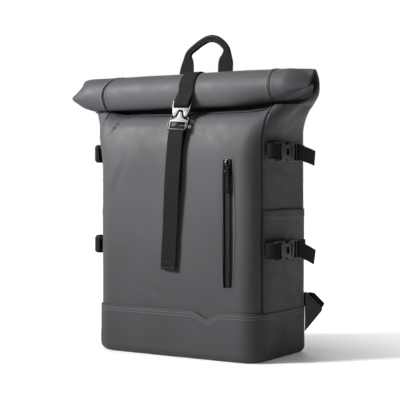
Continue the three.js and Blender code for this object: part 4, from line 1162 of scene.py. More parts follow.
def build_panels():
    """The front with the zip's slot, the back and the two folded sides, each running on into the roll."""
    half = graded(0, PANEL_EDGE - 10, 4.0)
    edge = PANEL_EDGE - EDGE_STEPS
    face = np.unique(np.concatenate([-half, half, -edge, edge]))
    slot = np.array([ZIP_X - ZIP_SLOT / 2, ZIP_X + ZIP_SLOT / 2])
    front = face[np.abs(face[:, None] - slot).min(1) > 1.2]
    front = np.unique(np.concatenate([front, slot]))
    ends = station_at([ZIP_BOTTOM, ZIP_TOP], ZIP_X)
    rows = tube_rows(ends)
    middle_s = (front[1:] + front[:-1]) / 2
    middle_k = (rows[1:] + rows[:-1]) / 2
    in_slot = (middle_s > slot[0]) & (middle_s < slot[1])
    inside = ((middle_k > ends[0]) & (middle_k < ends[1]))[:, None] & in_slot
    panel("front_cloth", "front_panel", front, rows, ~inside)
    rows = tube_rows()
    panel("back_cloth", "back_panel", 2 * QUARTER + face, rows)
    fold = np.array([0, 0.45, 0.9, 1.3, FOLD_ARC, 2.6, 4, 6])
    wide = graded(9, GUSSET_EDGE - 10, 3.4)
    edge = GUSSET_EDGE - EDGE_STEPS
    gusset = np.unique(np.concatenate([-fold, fold, -wide, wide, -edge, edge]))
    panel("side_cloth_right", "side_panel_right", QUARTER + gusset, rows)
    panel("side_cloth_left", "side_panel_left", -QUARTER + gusset, rows)


def build_piping():
    """A thin welt in each back seam, and the sewn edge of each front seam on the shoulder. The left back welt
    and the front edges are near black: painted shade standing for the shade in the seams' grooves.
    """
    k = np.concatenate([BODY_K[6:], np.arange(BODY_STEPS, NECK + 10, 0.3)])
    circle = oval(PIPING_RADIUS, PIPING_RADIUS, 8)
    for side, sign in (("right", 1), ("left", -1)):
        p, n = skin(k, sign * BACK_SEAM, 0.35)
        sweep(f"back_piping_{side}", p, n, circle, WELT if sign > 0 else WELT_PAINTED_SHADE, slot="coated_fabric")
        over = np.arange(NECK + 1, NECK + 7.4, 0.3)
        rows = [skin(over, sign * (BACK_SEAM - off), 0.1) for off in (-4.5, 4.5)]
        stitches(f"roll_stitches_{side}", rows, 3.4, 2.5, 0.34, THREAD, "coated_fabric")
        low = k[k < NECK - 2]
        p, n = skin(low, sign * FRONT_SEAM, 0.1)
        # A near-black edge: painted shade for the groove of the front seam
        sweep(f"front_piping_{side}", p, n, np.array(circle) * 0.72, WELT_PAINTED_SHADE, slot="coated_fabric")


def base_ring(height, offset, stops):
    """Points round the base at heights and offsets from the middle of the tube's wall."""
    z = np.broadcast_to(np.asarray(height, float), stops.shape)
    k = np.interp(np.maximum(z, HEM_Z), BODY_HEIGHTS, range(4))
    p = tube_point(k, stops)
    q = tube_point(k, stops + 0.01)
    along = unit((q - p)[:, :2])
    p = p[:, :2] + np.stack([along[:, 1], -along[:, 0]], -1) * np.broadcast_to(offset, z.shape)[:, None]
    return np.column_stack([p, z])


def base_rim(s):
    """The height of the base's top edge, with its V-shaped notch."""
    drop = np.maximum(0, 1 - np.abs(s - NOTCH_X) / NOTCH_HALF)
    return BASE_Z - NOTCH_DEPTH * np.where(drop > 0.96, 0.96 - (0.96 - drop) * 0.3, drop)


def build_base():
    """The base: a floor and a wall round the panels' hems, with two rows of stitches under its rim."""
    stops = graded(-2 * QUARTER, 2 * QUARTER, 3.2, [NOTCH_X - NOTCH_HALF, NOTCH_X, NOTCH_X + NOTCH_HALF])[:-1]
    inside = WALL / 2 + PIECE_GAP + 0.3
    outside = inside + BASE_WALL

    def ring(height, offset):
        points = base_ring(height, offset, stops)
        rise = smooth((points[:, 2] - 2) / 20) * smooth((78 - points[:, 2]) / 14)
        push = (0.7 * waves(points, SLOW_WAVES) + 0.2 * waves(points, QUICK_WAVES)) * rise
        middle = points[:, :2] * np.array([1, 1.2])
        dent = DENT_DEPTH * bump(points[:, 2], *DENT_Z) * bump(points[:, 1], *DENT_Y)
        dent = dent * smooth((points[:, 0] - DENT_FROM_X) / 30)
        points[:, :2] += unit(middle) * (np.maximum(push, -0.4) - dent)[:, None]
        return points

    rim = base_rim(stops)
    rings = []
    for t in np.linspace(0, 1, 8):
        a = t * math.pi / 2
        rings.append(ring(BASE_FILLET * (1 - math.cos(a)), outside - BASE_FILLET * (1 - math.sin(a))))
    for t in np.linspace(0.12, 1, 13):
        rings.append(ring(BASE_FILLET + t * (rim - 1.2 - BASE_FILLET), outside))
    rings += [ring(rim - 0.5, outside - 0.08), ring(rim, outside - 0.55), ring(rim, inside + 0.45),
              ring(rim - 0.8, inside)]
    for t in (0.8, 0.5, 0.2):
        rings.append(ring(BASE_FILLET + t * (rim - BASE_FILLET), inside))
    rings.append(ring(FLOOR_WALL + 3, inside - 2))
    rings.append(ring(FLOOR_WALL, inside - BASE_FILLET + FLOOR_WALL))
    faces = ring_faces(len(rings), len(stops))
    mesh_piece("base_cloth", np.vstack(rings), faces, FABRIC_BASE, ["base_panel"], "coated_fabric", sharp=60)
    lines = []
    for below in BASE_SEAMS:
        line = ring(rim - below, outside + 0.05)
        line = np.vstack([line, line[:1]])
        lines.append((line, unit(line * (1, 1, 0) * (1, 1.6, 1))))
    stitches("base_stitches", lines, material=THREAD, slot="coated_fabric")


def build_pockets():
    """The open pocket on each side, with a hem along its mouth."""
    for side, middle in (("right", QUARTER), ("left", -QUARTER)):
        wide = graded(0, 0.98 * GUSSET_EDGE, 3.6)
        stops = middle + np.unique(np.concatenate([-wide, wide]))
        heights = graded(BASE_Z + PIECE_GAP, POCKET_TOP, 4.0, POCKET_TOP - POCKET_HEM)
        k = station_at(heights, QUARTER)[:, None]
        s = stops[None]
        share = np.maximum(0, 1 - ((np.abs(s) - QUARTER) / GUSSET_EDGE) ** 2)
        up = (heights[:, None] - BASE_Z) / (POCKET_TOP - BASE_Z)
        low = PIECE_GAP + POCKET_BULGE * share * (0.15 + 0.85 * up)
        below = POCKET_TOP - heights[:, None]
        hem = 0.55 * smooth((HEM_WIDTH - below) / 1.4) * smooth((below + 0.3) / 1.2)
        inner, n = skin(k, s, low)
        outer, _ = skin(k, s, low + POCKET_WALL - 0.3 + hem)
        shell(f"pocket_cloth_{side}", outer, inner, FABRIC, stands_for=[f"side_pocket_{side}"],
              slot="coated_fabric")
        lines = []
        for down in HEM_SEAMS:
            z = POCKET_TOP - down
            row = np.argmin(np.abs(heights - z))
            points = outer[row] + (0, 0, z - heights[row]) + n[row] * 0.05
            lines.append((points, n[row]))
        stitches(f"pocket_stitches_{side}", lines, slot="coated_fabric")


def front_level(z, s, lift):
    """Points and normals over the front at heights z."""
    return skin(station_at(z, s), s, lift)


def build_zip():
    """The zip's tape, teeth, piped slot and stitches, its slider, and the pull that hangs from it."""
    level = -WALL / 2 - PIECE_GAP - 0.2
    heights = np.linspace(ZIP_BOTTOM - 7, ZIP_TOP + 7, 46)
    across = np.array([-TAPE_WIDTH / 2, -8, -5.5, -3, 0, 3, 5.5, 8, TAPE_WIDTH / 2])
    k = station_at(heights, ZIP_X)[:, None]
    s = (ZIP_X + across)[None]
    top, _ = skin(k, s, level - WALL / 2)
    low, _ = skin(k, s, level - WALL / 2 - 1)
    uv = np.stack(np.broadcast_arrays(across[None] + 40, heights[:, None]), -1) * MM
    shell("zip_tape_cloth", top, low, TAPE, stands_for=["zip_tape"], slot="zip_fabric", uv=uv)
    line_z = np.arange(ZIP_BOTTOM + 2, ZIP_TOP - 1, TOOTH_PITCH)
    teeth = []
    for side in (-1, 1):
        x, z = ZIP_X + side * TOOTH_OFFSET, line_z + side * TOOTH_STAGGER
        p, _ = front_level(z, x, level - WALL / 2 + 0.75)
        teeth += [rounded_box(TOOTH, q, 0.28, 1) for q in p]
    mesh_piece("zip_teeth", *merge(teeth), COIL, slot="zip_fabric")

    def round_slot(off, radius, step, lift):
        """A line round the zip's slot, outside it by off."""
        middle = (ZIP_TOP + ZIP_BOTTOM) / 2
        loop = rounded(ZIP_SLOT + 2 * off, ZIP_TOP - ZIP_BOTTOM + 2 * off, radius, ZIP_X, middle, 8)
        line = closed_line(loop, step)
        return front_level(line[:, 2], line[:, 0], lift)

    sweep("zip_welt", *round_slot(0.3, 3.4, 3.0, -0.15), ZIP_WELT, FABRIC, slot="coated_fabric")
    stitches("zip_stitches", [round_slot(3.6, 5, 4.0, 0.05)], 3.2, 2.4, 0.32, slot="coated_fabric")

    slider_z = ZIP_TOP - SLIDER_LENGTH / 2 - 1
    seat = tube_point(station_at(slider_z, ZIP_X), ZIP_X)
    face_y = seat[1] - (level + CHAIN_HEIGHT) - 0.45
    at = np.array([ZIP_X, face_y, slider_z])
    body, body_faces = plate(rounded(SLIDER_WIDTH, SLIDER_LENGTH, 2.8, steps=7), (), SLIDER_THICKNESS, 0.7, 3)
    body[:, 0] *= 1 - 0.22 * smooth((-body[:, 2] - 1) / 6)
    body[:, 1] += -SLIDER_THICKNESS / 2 - 0.5 * np.maximum(0, 1 - (body[:, 0] / 4.5) ** 2) * (body[:, 1] < 0)
    hole = rounded(4.6, 3.0, 1.2, 0, -PIVOT_HEIGHT + 0.5, 4)
    arch, arch_faces = plate(SLIDER_BRIDGE, [hole], 2.6, 0.45, 2)
    arch = np.stack([arch[:, 1], arch[:, 2] - SLIDER_THICKNESS, arch[:, 0]], -1)
    slider = merge([(body, body_faces), (arch, arch_faces)])
    mesh_piece("slider", slider[0] + at, slider[1], GUNMETAL, ["zip_slider"], "zip_metal", sharp=50)

    pull_y = face_y - SLIDER_THICKNESS - PIVOT_HEIGHT + 0.4
    ring_hole = rounded(4.2, 6.4, 1.4, 0, -3.9, 5)
    ring = plate(rounded(PULL_WIDTH - 2.4, 13, 3.0, 0, -5.5, 7), [ring_hole], 1.6, 0.5, 3)
    bar_z = -PULL_LENGTH / 2 - 5
    bar_hole = rounded(5.6, 24, 2.2, 0, bar_z, 6)
    bar = plate(rounded(PULL_WIDTH, PULL_LENGTH - 12, 3.4, 0, bar_z, 7), [bar_hole], 2.0, 0.8, 3)
    pull = merge([ring, bar, rounded_box((6.0, 1.5, 4), (0, 0, -11.5), 0.4)])
    mesh_piece("pull", pull[0] + (ZIP_X, pull_y, slider_z), pull[1], BLACK_METAL, ["zip_pull"], "zip_metal",
               body="zip_puller", sharp=50)


def strap_x(z):
    """X of the middle strap, which slants a little, at a height."""
    return STRAP_END_X + (STRAP_TOP_X - STRAP_END_X) * (z - TAIL_END_Z) / (ROLL_Z + ROLL_RADIUS - TAIL_END_Z)


def both_sides(outline):
    """A closed outline from its right half."""
    return [*outline, *((-x, z) for x, z in reversed(outline))]


def build_roll_strap():
    """The strap over the roll, its metal buckle, and the lower strap that turns up into the free end."""
    lift = WALL / 2 + PIECE_GAP + WEB / 2 + 0.5
    steps = np.arange(-5, 6.01, 0.5)
    p = tube_point(NECK + steps, 2 * QUARTER)
    p = p + tube_normal(NECK + steps, 2 * QUARTER) * lift
    index = np.interp(steps, [-5, -4, 0, 1, 2, 3, 4, 5, 6], range(9))
    back_x = STRAP_BACK_X + (STRAP_TOP_X - STRAP_BACK_X) * np.minimum(1, index / 6)
    front_y = -BODY_DEPTH / 2 - FRONT_CROWN * 0.6 - lift
    tilt = math.atan2(p[-1][1] - STRAP_LEAN_Y, p[-1][2] - STRAP_LEAN_Z)
    turn = math.hypot(METAL_BAR, METAL_THICKNESS) / 2 / OCTAGON + 1.1 + WEB / 2
    metal_y = STRAP_LEAN_Y + math.tan(tilt) * (METAL_Z - STRAP_LEAN_Z)

    def on_metal(up):
        return metal_y + up * math.sin(tilt), METAL_Z + up * math.cos(tilt)

    bar_y, bar_z = on_metal(HOOK_BAR)
    upper = [(x, y, z) for x, (_, y, z) in zip(back_x, p)]
    upper += [(strap_x(z), y, z) for y, z in arc(bar_y, bar_z, turn, 180, 360, 6)]
    upper.append((strap_x(bar_z), bar_y + turn - 0.5, bar_z + 9))
    ribbon("strap_over_roll", upper, (1, 0, 0), STRAP_WIDTH, stands_for=["roll_strap"], slot="webbing")

    slant = math.atan2(STRAP_TOP_X - STRAP_END_X, ROLL_Z + ROLL_RADIUS - TAIL_END_Z)
    turned = np.array(Matrix.Rotation(slant, 3, "Y") @ Matrix.Rotation(-tilt, 3, "X"))
    middle = np.array([strap_x(METAL_Z), metal_y, METAL_Z])

    def lay(points):
        return np.asarray(points) @ turned.T + middle

    half = METAL_HALF
    outline = both_sides(HOOK_SIDE) + [(-half + 4.2, HOOK_TOP - 4.8), (half - 4.2, HOOK_TOP - 4.8)]
    slot_hole = rounded(METAL_WIDTH - 7, 4.6, 1.3, 0, HOOK_BAR - METAL_BAR / 2 - 2.3, 4)
    hook, hook_faces = plate(outline, [slot_hole], METAL_THICKNESS, 0.7, 3)
    hook[:, 1] -= 0.25 * np.maximum(0, 1 - (hook[:, 0] / half) ** 2)
    mesh_piece("metal_hook", lay(hook), hook_faces, SILVER, ["buckle_hook"], "buckle_metal", sharp=45)

    hole_height = FRAME_TOP - 5.0 - 1.6 - (FRAME_BOTTOM + METAL_BAR)
    hole = rounded(METAL_WIDTH - 7, hole_height, 1.2, 0, FRAME_BOTTOM + METAL_BAR + hole_height / 2, 4)
    parts = [plate(both_sides(FRAME_SIDE), [hole], METAL_THICKNESS, 0.7, 3)]
    for sign in (-1, 1):
        end = sign * (half + 0.2)
        parts.append(rod((end - sign * 4.5, 0.2, FRAME_TOP + 0.4), (end, 0.2, FRAME_TOP + 1.2), 1.5))
    parts.append(rod((-half + 0.6, RIM_Y, RIM_Z), (half - 0.6, RIM_Y, RIM_Z), 1.35))
    parts += paired_boxes(FRAME_BOXES, half)
    points, faces = merge(parts)
    mesh_piece("metal_frame", lay(points), faces, SILVER, ["buckle_frame"], "buckle_metal", sharp=45)

    bar = on_metal(FRAME_BOTTOM + METAL_BAR / 2)
    tail_y = front_y - WEB - TAIL_STANDOFF
    lower = [(front_y - 0.5, z) for z in (PATCH_BOTTOM_Z, PATCH_TOP_Z, PATCH_TOP_Z + 42)]
    lower += arc(*bar, turn, 0, 180, 6)
    lower += [(tail_y + off, z) for off, z in TAIL_LINE]
    lower = [(strap_x(z), y, z) for y, z in lower]
    ribbon("strap_free_end", lower, (1, 0, 0), STRAP_WIDTH, stands_for=["roll_strap_tail"], slot="webbing")
    y = tail_y - WEB / 2 - 0.1
    rows = []
    for z in (TAIL_END_Z + 3.5, TAIL_END_Z + 13):
        rows.append(([(strap_x(z) - 11.5, y, z), (strap_x(z) + 11.5, y, z)], [(0, -1, 0)] * 2))
    stitches("strap_end_stitches", rows, 2.4, 1.9, 0.35)


def side_reach(y, z):
    """The side's outermost X near a distance y from front to back, at a height."""
    s = np.arange(FRONT_SEAM, 2 * QUARTER - FRONT_SEAM, 1.0)
    k = station_at(z, s)
    p = tube_point(k, s)
    x = p[:, 0] + tube_normal(k, s)[:, 0] * WALL / 2
    near = np.abs(p[:, 1] - y) < 1.5
    return float(np.max(x[near])) if near.any() else 0.0


def mirror(points, sign):
    """The points for the right side, or mirrored for the left if sign is -1."""
    return np.asarray(points, float) * (sign, 1, 1)


def build_side_strap(level, side, z, over, droop):
    """One compression strap: the front webbing, the buckle, and the back webbing with its tail."""
    sign = 1 if side == "right" else -1
    tag = f"{level}_{side}"
    edges = (-SIDE_WEB_WIDTH / 2, 0, SIDE_WEB_WIDTH / 2)

    def surface(y):
        return max(side_reach(y, z + dz) for dz in edges) + over + PIECE_GAP

    bar_x = SIDE_BUCKLE_X
    lift = WEB / 2
    turn = PLASTIC_BAR * math.sqrt(0.5) / OCTAGON + 0.7 + lift
    loop_y = SOCKET_START + PLASTIC_BAR / 2
    seam_y = SIDE_SEAM_Y
    start = surface(seam_y)
    front = [(start + lift, seam_y - 1, z), (start + lift + 4, seam_y + 2, z)]
    front += [(x, y, z) for x, y in arc(bar_x, loop_y, turn, 200, -20, 6)]
    front += [(start + lift + 6, seam_y - 5, z), (start + 3 * lift + 1.2, seam_y - 5, z)]
    ribbon(f"loop_strap_{tag}", mirror(front, sign), (0, 0, 1), SIDE_WEB_WIDTH,
           stands_for=[f"strap_front_{tag}"], slot="webbing")
    end_y = LADDER_END - PLASTIC_BAR / 2
    back = [(surface(62) + lift, 64, z), (surface(56) + lift + 0.3, 55, z)]
    back += [(x, y, z) for x, y in arc(bar_x, end_y, turn, 180, 360, 6)]
    back += [(bar_x + turn + 1, end_y + 12, z - droop * 0.3),
             (bar_x + turn + 2.2, end_y + 28, z - droop * 0.62), (*SIDE_TAIL, z - droop)]
    ribbon(f"tail_strap_{tag}", mirror(back, sign), (0, 0, 1), SIDE_WEB_WIDTH,
           stands_for=[f"strap_back_{tag}"], slot="webbing")

    def lay(points):
        return mirror(np.asarray(points)[:, [1, 2, 0]] + (bar_x, 0, z), sign)

    half = SOCKET_HALF
    slot_hole = rounded(SIDE_WEB_WIDTH + 1, 5, 1.2, 0, SOCKET_START + PLASTIC_BAR + 2.5, 4)
    window = rounded(10, 9, 1.4, 0, SOCKET_END - 12, 4)
    halves = []
    for face, hole in ((1, [slot_hole, window]), (-1, [slot_hole])):
        cover, cover_faces = plate(both_sides(SOCKET_SIDE), hole, 3.4, 0.9, 3)
        dome = np.maximum(0, 1 - (cover[:, 0] / half) ** 2) * smooth((cover[:, 2] - SOCKET_START - 8) / 8)
        cover[:, 1] += face * 2.6
        outer = cover[:, 1] * face > 2.6
        cover[outer, 1] += face * (dome[outer] - 0.5)
        halves.append((cover, cover_faces))
    halves.append(rod((-half + 2, 0, loop_y), (half - 2, 0, loop_y), 1.6))
    halves += paired_boxes(SOCKET_BOXES, half)
    points, faces = merge(halves)
    mesh_piece(f"socket_{tag}", lay(points), faces, PLASTIC, [f"buckle_socket_{tag}"], "black_plastic",
               sharp=45)

    ladder_length = LADDER_END - SOCKET_END - 0.5
    outline = rounded(SOCKET_WIDTH, ladder_length, 2.4, 0, (LADDER_END + SOCKET_END + 0.5) / 2, 6)
    slots = [rounded(SIDE_WEB_WIDTH + 1, 5.5, 1.3, 0, y, 4)
             for y in (LADDER_END - PLASTIC_BAR - 2.75, LADDER_END - 2 * PLASTIC_BAR - 8.25)]
    parts = [plate(outline, slots, LADDER_THICKNESS, 0.9, 3)]
    parts += paired_boxes(PLUG_BOXES, half)
    parts.append(rounded_box((9.2, 3.6, 13), (0, 0, SOCKET_END - 6), 0.8))
    for step in range(3):
        rib = (0, LADDER_THICKNESS / 2 + 0.1, SOCKET_END + 3.2 + 1.7 * step)
        parts.append(rounded_box((20, 0.9, 0.9), rib, 0.3))
    points, faces = merge(parts)
    mesh_piece(f"plug_{tag}", lay(points), faces, PLASTIC, [f"buckle_plug_{tag}"], "black_plastic", sharp=45)
    rows = []
    for y in (SIDE_TAIL[1] - 4, SIDE_TAIL[1] - 11):
        lean = z - droop * (0.62 + 0.38 * (y - end_y - 28) / (SIDE_TAIL[1] - end_y - 28))
        out = SIDE_TAIL[0] - (SIDE_TAIL[1] - y) * 0.02 + WEB / 2 + 0.1
        rows.append((mirror([(out, y, lean - 9.5), (out, y, lean + 9.5)], sign), [(sign, 0, 0)] * 2))
    stitches(f"tail_stitches_{tag}", rows, 2.4, 1.8, 0.33)


def build_handle():
    """The top handle: webbing from the back's slope, folded in half and sewn together at the grip."""
    lift = WALL / 2 + PIECE_GAP + 1.2

    def foot(x):
        k = NECK + HANDLE_SEWN
        p = tube_point(k, 2 * QUARTER) + tube_normal(k, 2 * QUARTER) * lift
        return [(x, y, z) for _, y, z in p], tube_normal(k, 2 * QUARTER)

    left, n = foot(HANDLE[0][0])
    right, _ = foot(HANDLE[-1][0])
    points = left + [row[:3] for row in HANDLE] + right[::-1]
    normals = np.vstack([n, np.tile((0, 1, 0), (len(HANDLE), 1)), n[::-1]])
    widths = [HANDLE_WIDTH] * 3 + [row[3] for row in HANDLE] + [HANDLE_WIDTH] * 3
    thick = [2.4] * 3 + [row[4] for row in HANDLE] + [2.4] * 3
    line = curve_through(points, 2.0, (normals, widths, thick))
    centre, normal, width, thickness = line[:, :3], unit(line[:, 3:6]), line[:, 6], line[:, 7]
    profiles = []
    for w, t in zip(width, thickness):
        folded = np.clip((HANDLE_WIDTH - w) / 15, 0, 1)
        section = np.array(tape_profile(w, t, 10))
        a = section[:, 0] / (w / 2)
        round_top = np.sqrt(np.maximum(0, 1 - np.minimum(1, np.abs(a)) ** 2.6))
        section[:, 1] = section[:, 1] * (1 - folded) + np.sign(section[:, 1]) * t / 2 * round_top * folded
        section[:, 1] -= np.sign(section[:, 1]) * 0.5 * folded * np.exp(-((a / 0.12) ** 2))
        profiles.append(section)
    sweep("handle_webbing", centre, normal, profiles, WEBBING, stands_for=["top_handle"], slot="webbing")
    grip = np.abs(width - 12.5) < 2.5
    rows = []
    across = unit(np.cross(tangents(centre), normal)) * width[:, None] / 2
    out = normal * (thickness / 2 * 0.86 + 0.05)[:, None]
    for face in (-1, 1):
        for offset in (-0.55, 0.55):
            rows.append(((centre + across * offset + out * face)[grip], normal[grip] * face))
    stitches("handle_stitches", rows, 3.0, 2.3, 0.36)
    box = []
    for x in (HANDLE[0][0], HANDLE[-1][0]):
        k = NECK + HANDLE_BOX
        p = tube_point(k, 2 * QUARTER) + tube_normal(k, 2 * QUARTER) * (lift + 1.3)
        n = tube_normal(k, 2 * QUARTER)
        p[:, 0] = x
        square = [(-10, 0), (10, 0), (10, -1), (-10, -1), (-10, 0)]
        for line in (square, [(-10, 0), (10, -1)], [(10, 0), (-10, -1)]):
            box.append(([p[i] + (dx, 0, 0) for dx, i in line], [n[0]] * len(line)))
    stitches("handle_foot_stitches", box, 2.6, 2.0, 0.36)


def inflate(piece, voxel, pressure, cap, frames=20):
    """Swells a closed pad by cloth pressure and keeps the result, with no point moved more than cap."""
    remesh = piece.modifiers.new("remesh", "REMESH")
    remesh.mode = "VOXEL"
    remesh.voxel_size = voxel * MM
    apply_modifiers(piece)
    before = read_points(piece.data)
    cloth = piece.modifiers.new("cloth", "CLOTH")
    cloth.settings.effector_weights.gravity = 0
    for setting, value in {**PAD_CLOTH, "uniform_pressure_force": pressure}.items():
        setattr(cloth.settings, setting, value)
    scene = bpy.context.scene
    for step in range(1, frames + 1):
        scene.frame_set(step)
    apply_modifiers(piece)
    scene.frame_set(1)
    after = read_points(piece.data)
    move = after - before
    size = np.linalg.norm(move, axis=1, keepdims=True)
    after = before + move * np.minimum(1, cap * MM / np.maximum(size, 1e-9))
    write_points(piece.data, after)
    smoother = piece.modifiers.new("smooth", "SMOOTH")
    smoother.iterations = 4
    division = piece.modifiers.new("subdivide", "SUBSURF")
    division.levels = 1
    division.render_levels = 1
    apply_modifiers(piece)
    piece.data.shade_smooth()


def apply_modifiers(piece):
    """Gives a piece the mesh that its modifiers make, and clears them."""
    bpy.context.view_layer.update()
    graph = bpy.context.evaluated_depsgraph_get()
    mesh = bpy.data.meshes.new_from_object(piece.evaluated_get(graph))
    old = piece.data
    piece.modifiers.clear()
    piece.data = mesh
    bpy.data.meshes.remove(old)


def read_points(mesh):
    data = np.empty(len(mesh.vertices) * 3)
    mesh.vertices.foreach_get("co", data)
    return data.reshape(-1, 3)


def write_points(mesh, points):
    mesh.vertices.foreach_set("co", np.asarray(points).ravel())
    mesh.update()


def pad_profile(width, thickness, steps=20):
    """Points round a flat pad with blunt edges."""
    c, s = np.array(oval(1, 1, steps)).T
    x = width / 2 * np.sign(c) * np.abs(c) ** 0.45
    return np.stack([x, thickness / 2 * np.sign(s) * np.abs(s) ** 0.75], -1)


def build_back_pad():
    """A panel of spacer mesh over foam, quilted by two upright channels and bound round its edge."""
    heights = np.linspace(BACK_PAD_BOTTOM, BACK_PAD_TOP, 38)
    stops = np.linspace(-BACK_PAD_WIDTH / 2, BACK_PAD_WIDTH / 2, 48)
    k = station_at(heights, 2 * QUARTER - 0.01)[:, None]
    s = 2 * QUARTER + stops[None]
    corner = BACK_PAD_CORNER
    middle, tall = (BACK_PAD_TOP + BACK_PAD_BOTTOM) / 2, BACK_PAD_TOP - BACK_PAD_BOTTOM
    x = np.abs(stops)[None] - (BACK_PAD_WIDTH / 2 - corner)
    z = np.abs(heights - middle)[:, None] - (tall / 2 - corner)
    reach = np.hypot(np.maximum(x, 0), np.maximum(z, 0)) + np.minimum(np.maximum(x, z), 0)
    inside = corner - reach
    edge = smooth(inside / 12) ** 0.6
    low, n = skin(k, s, PIECE_GAP)
    top = low + n * (1.6 + (BACK_PAD_THICKNESS - 3.2) * edge)[..., None]
    keep = ((inside[1:, 1:] + inside[:-1, :-1]) / 2) > 0.4
    pad = shell("back_pad_cloth", top, low + n * 0.2, MESH_CLOTH, keep=keep, stands_for=["back_pad"],
                slot="padding_fabric")
    inflate(pad, 4.0, 4.0, 2.2)
    points = read_points(pad.data) / MM
    floor = BODY_DEPTH / 2 + WALL / 2 + PIECE_GAP + 0.6
    out = points[:, 1] > floor + 2.0
    depth = np.zeros(len(points))
    for x in (-QUILT_X, QUILT_X):
        wide = np.abs(points[:, 0] - x - 0.02 * (points[:, 2] - 190) * np.sign(x))
        depth = np.maximum(depth, np.exp(-((wide / 4.2) ** 2)))
    for z in QUILT_HEIGHTS:
        band = (np.abs(points[:, 0]) > 45) & (np.abs(points[:, 0]) < 108)
        depth = np.maximum(depth, 0.75 * np.exp(-(((points[:, 2] - z) / 4.0) ** 2)) * band)
    points[:, 1] -= np.where(out, depth * 0.62 * (points[:, 1] - floor), 0)
    write_points(pad.data, points * MM)
    fine = closed_line(rounded(BACK_PAD_WIDTH - 2, tall - 2, corner, 0, middle, 8), 4.0)
    p, n = skin(station_at(fine[:, 2], 2 * QUARTER - 0.01), 2 * QUARTER + fine[:, 0], PIECE_GAP + 1.6)
    sweep("back_pad_binding", p, n, oval(2.6, 1.5, 12), BINDING, slot="webbing")


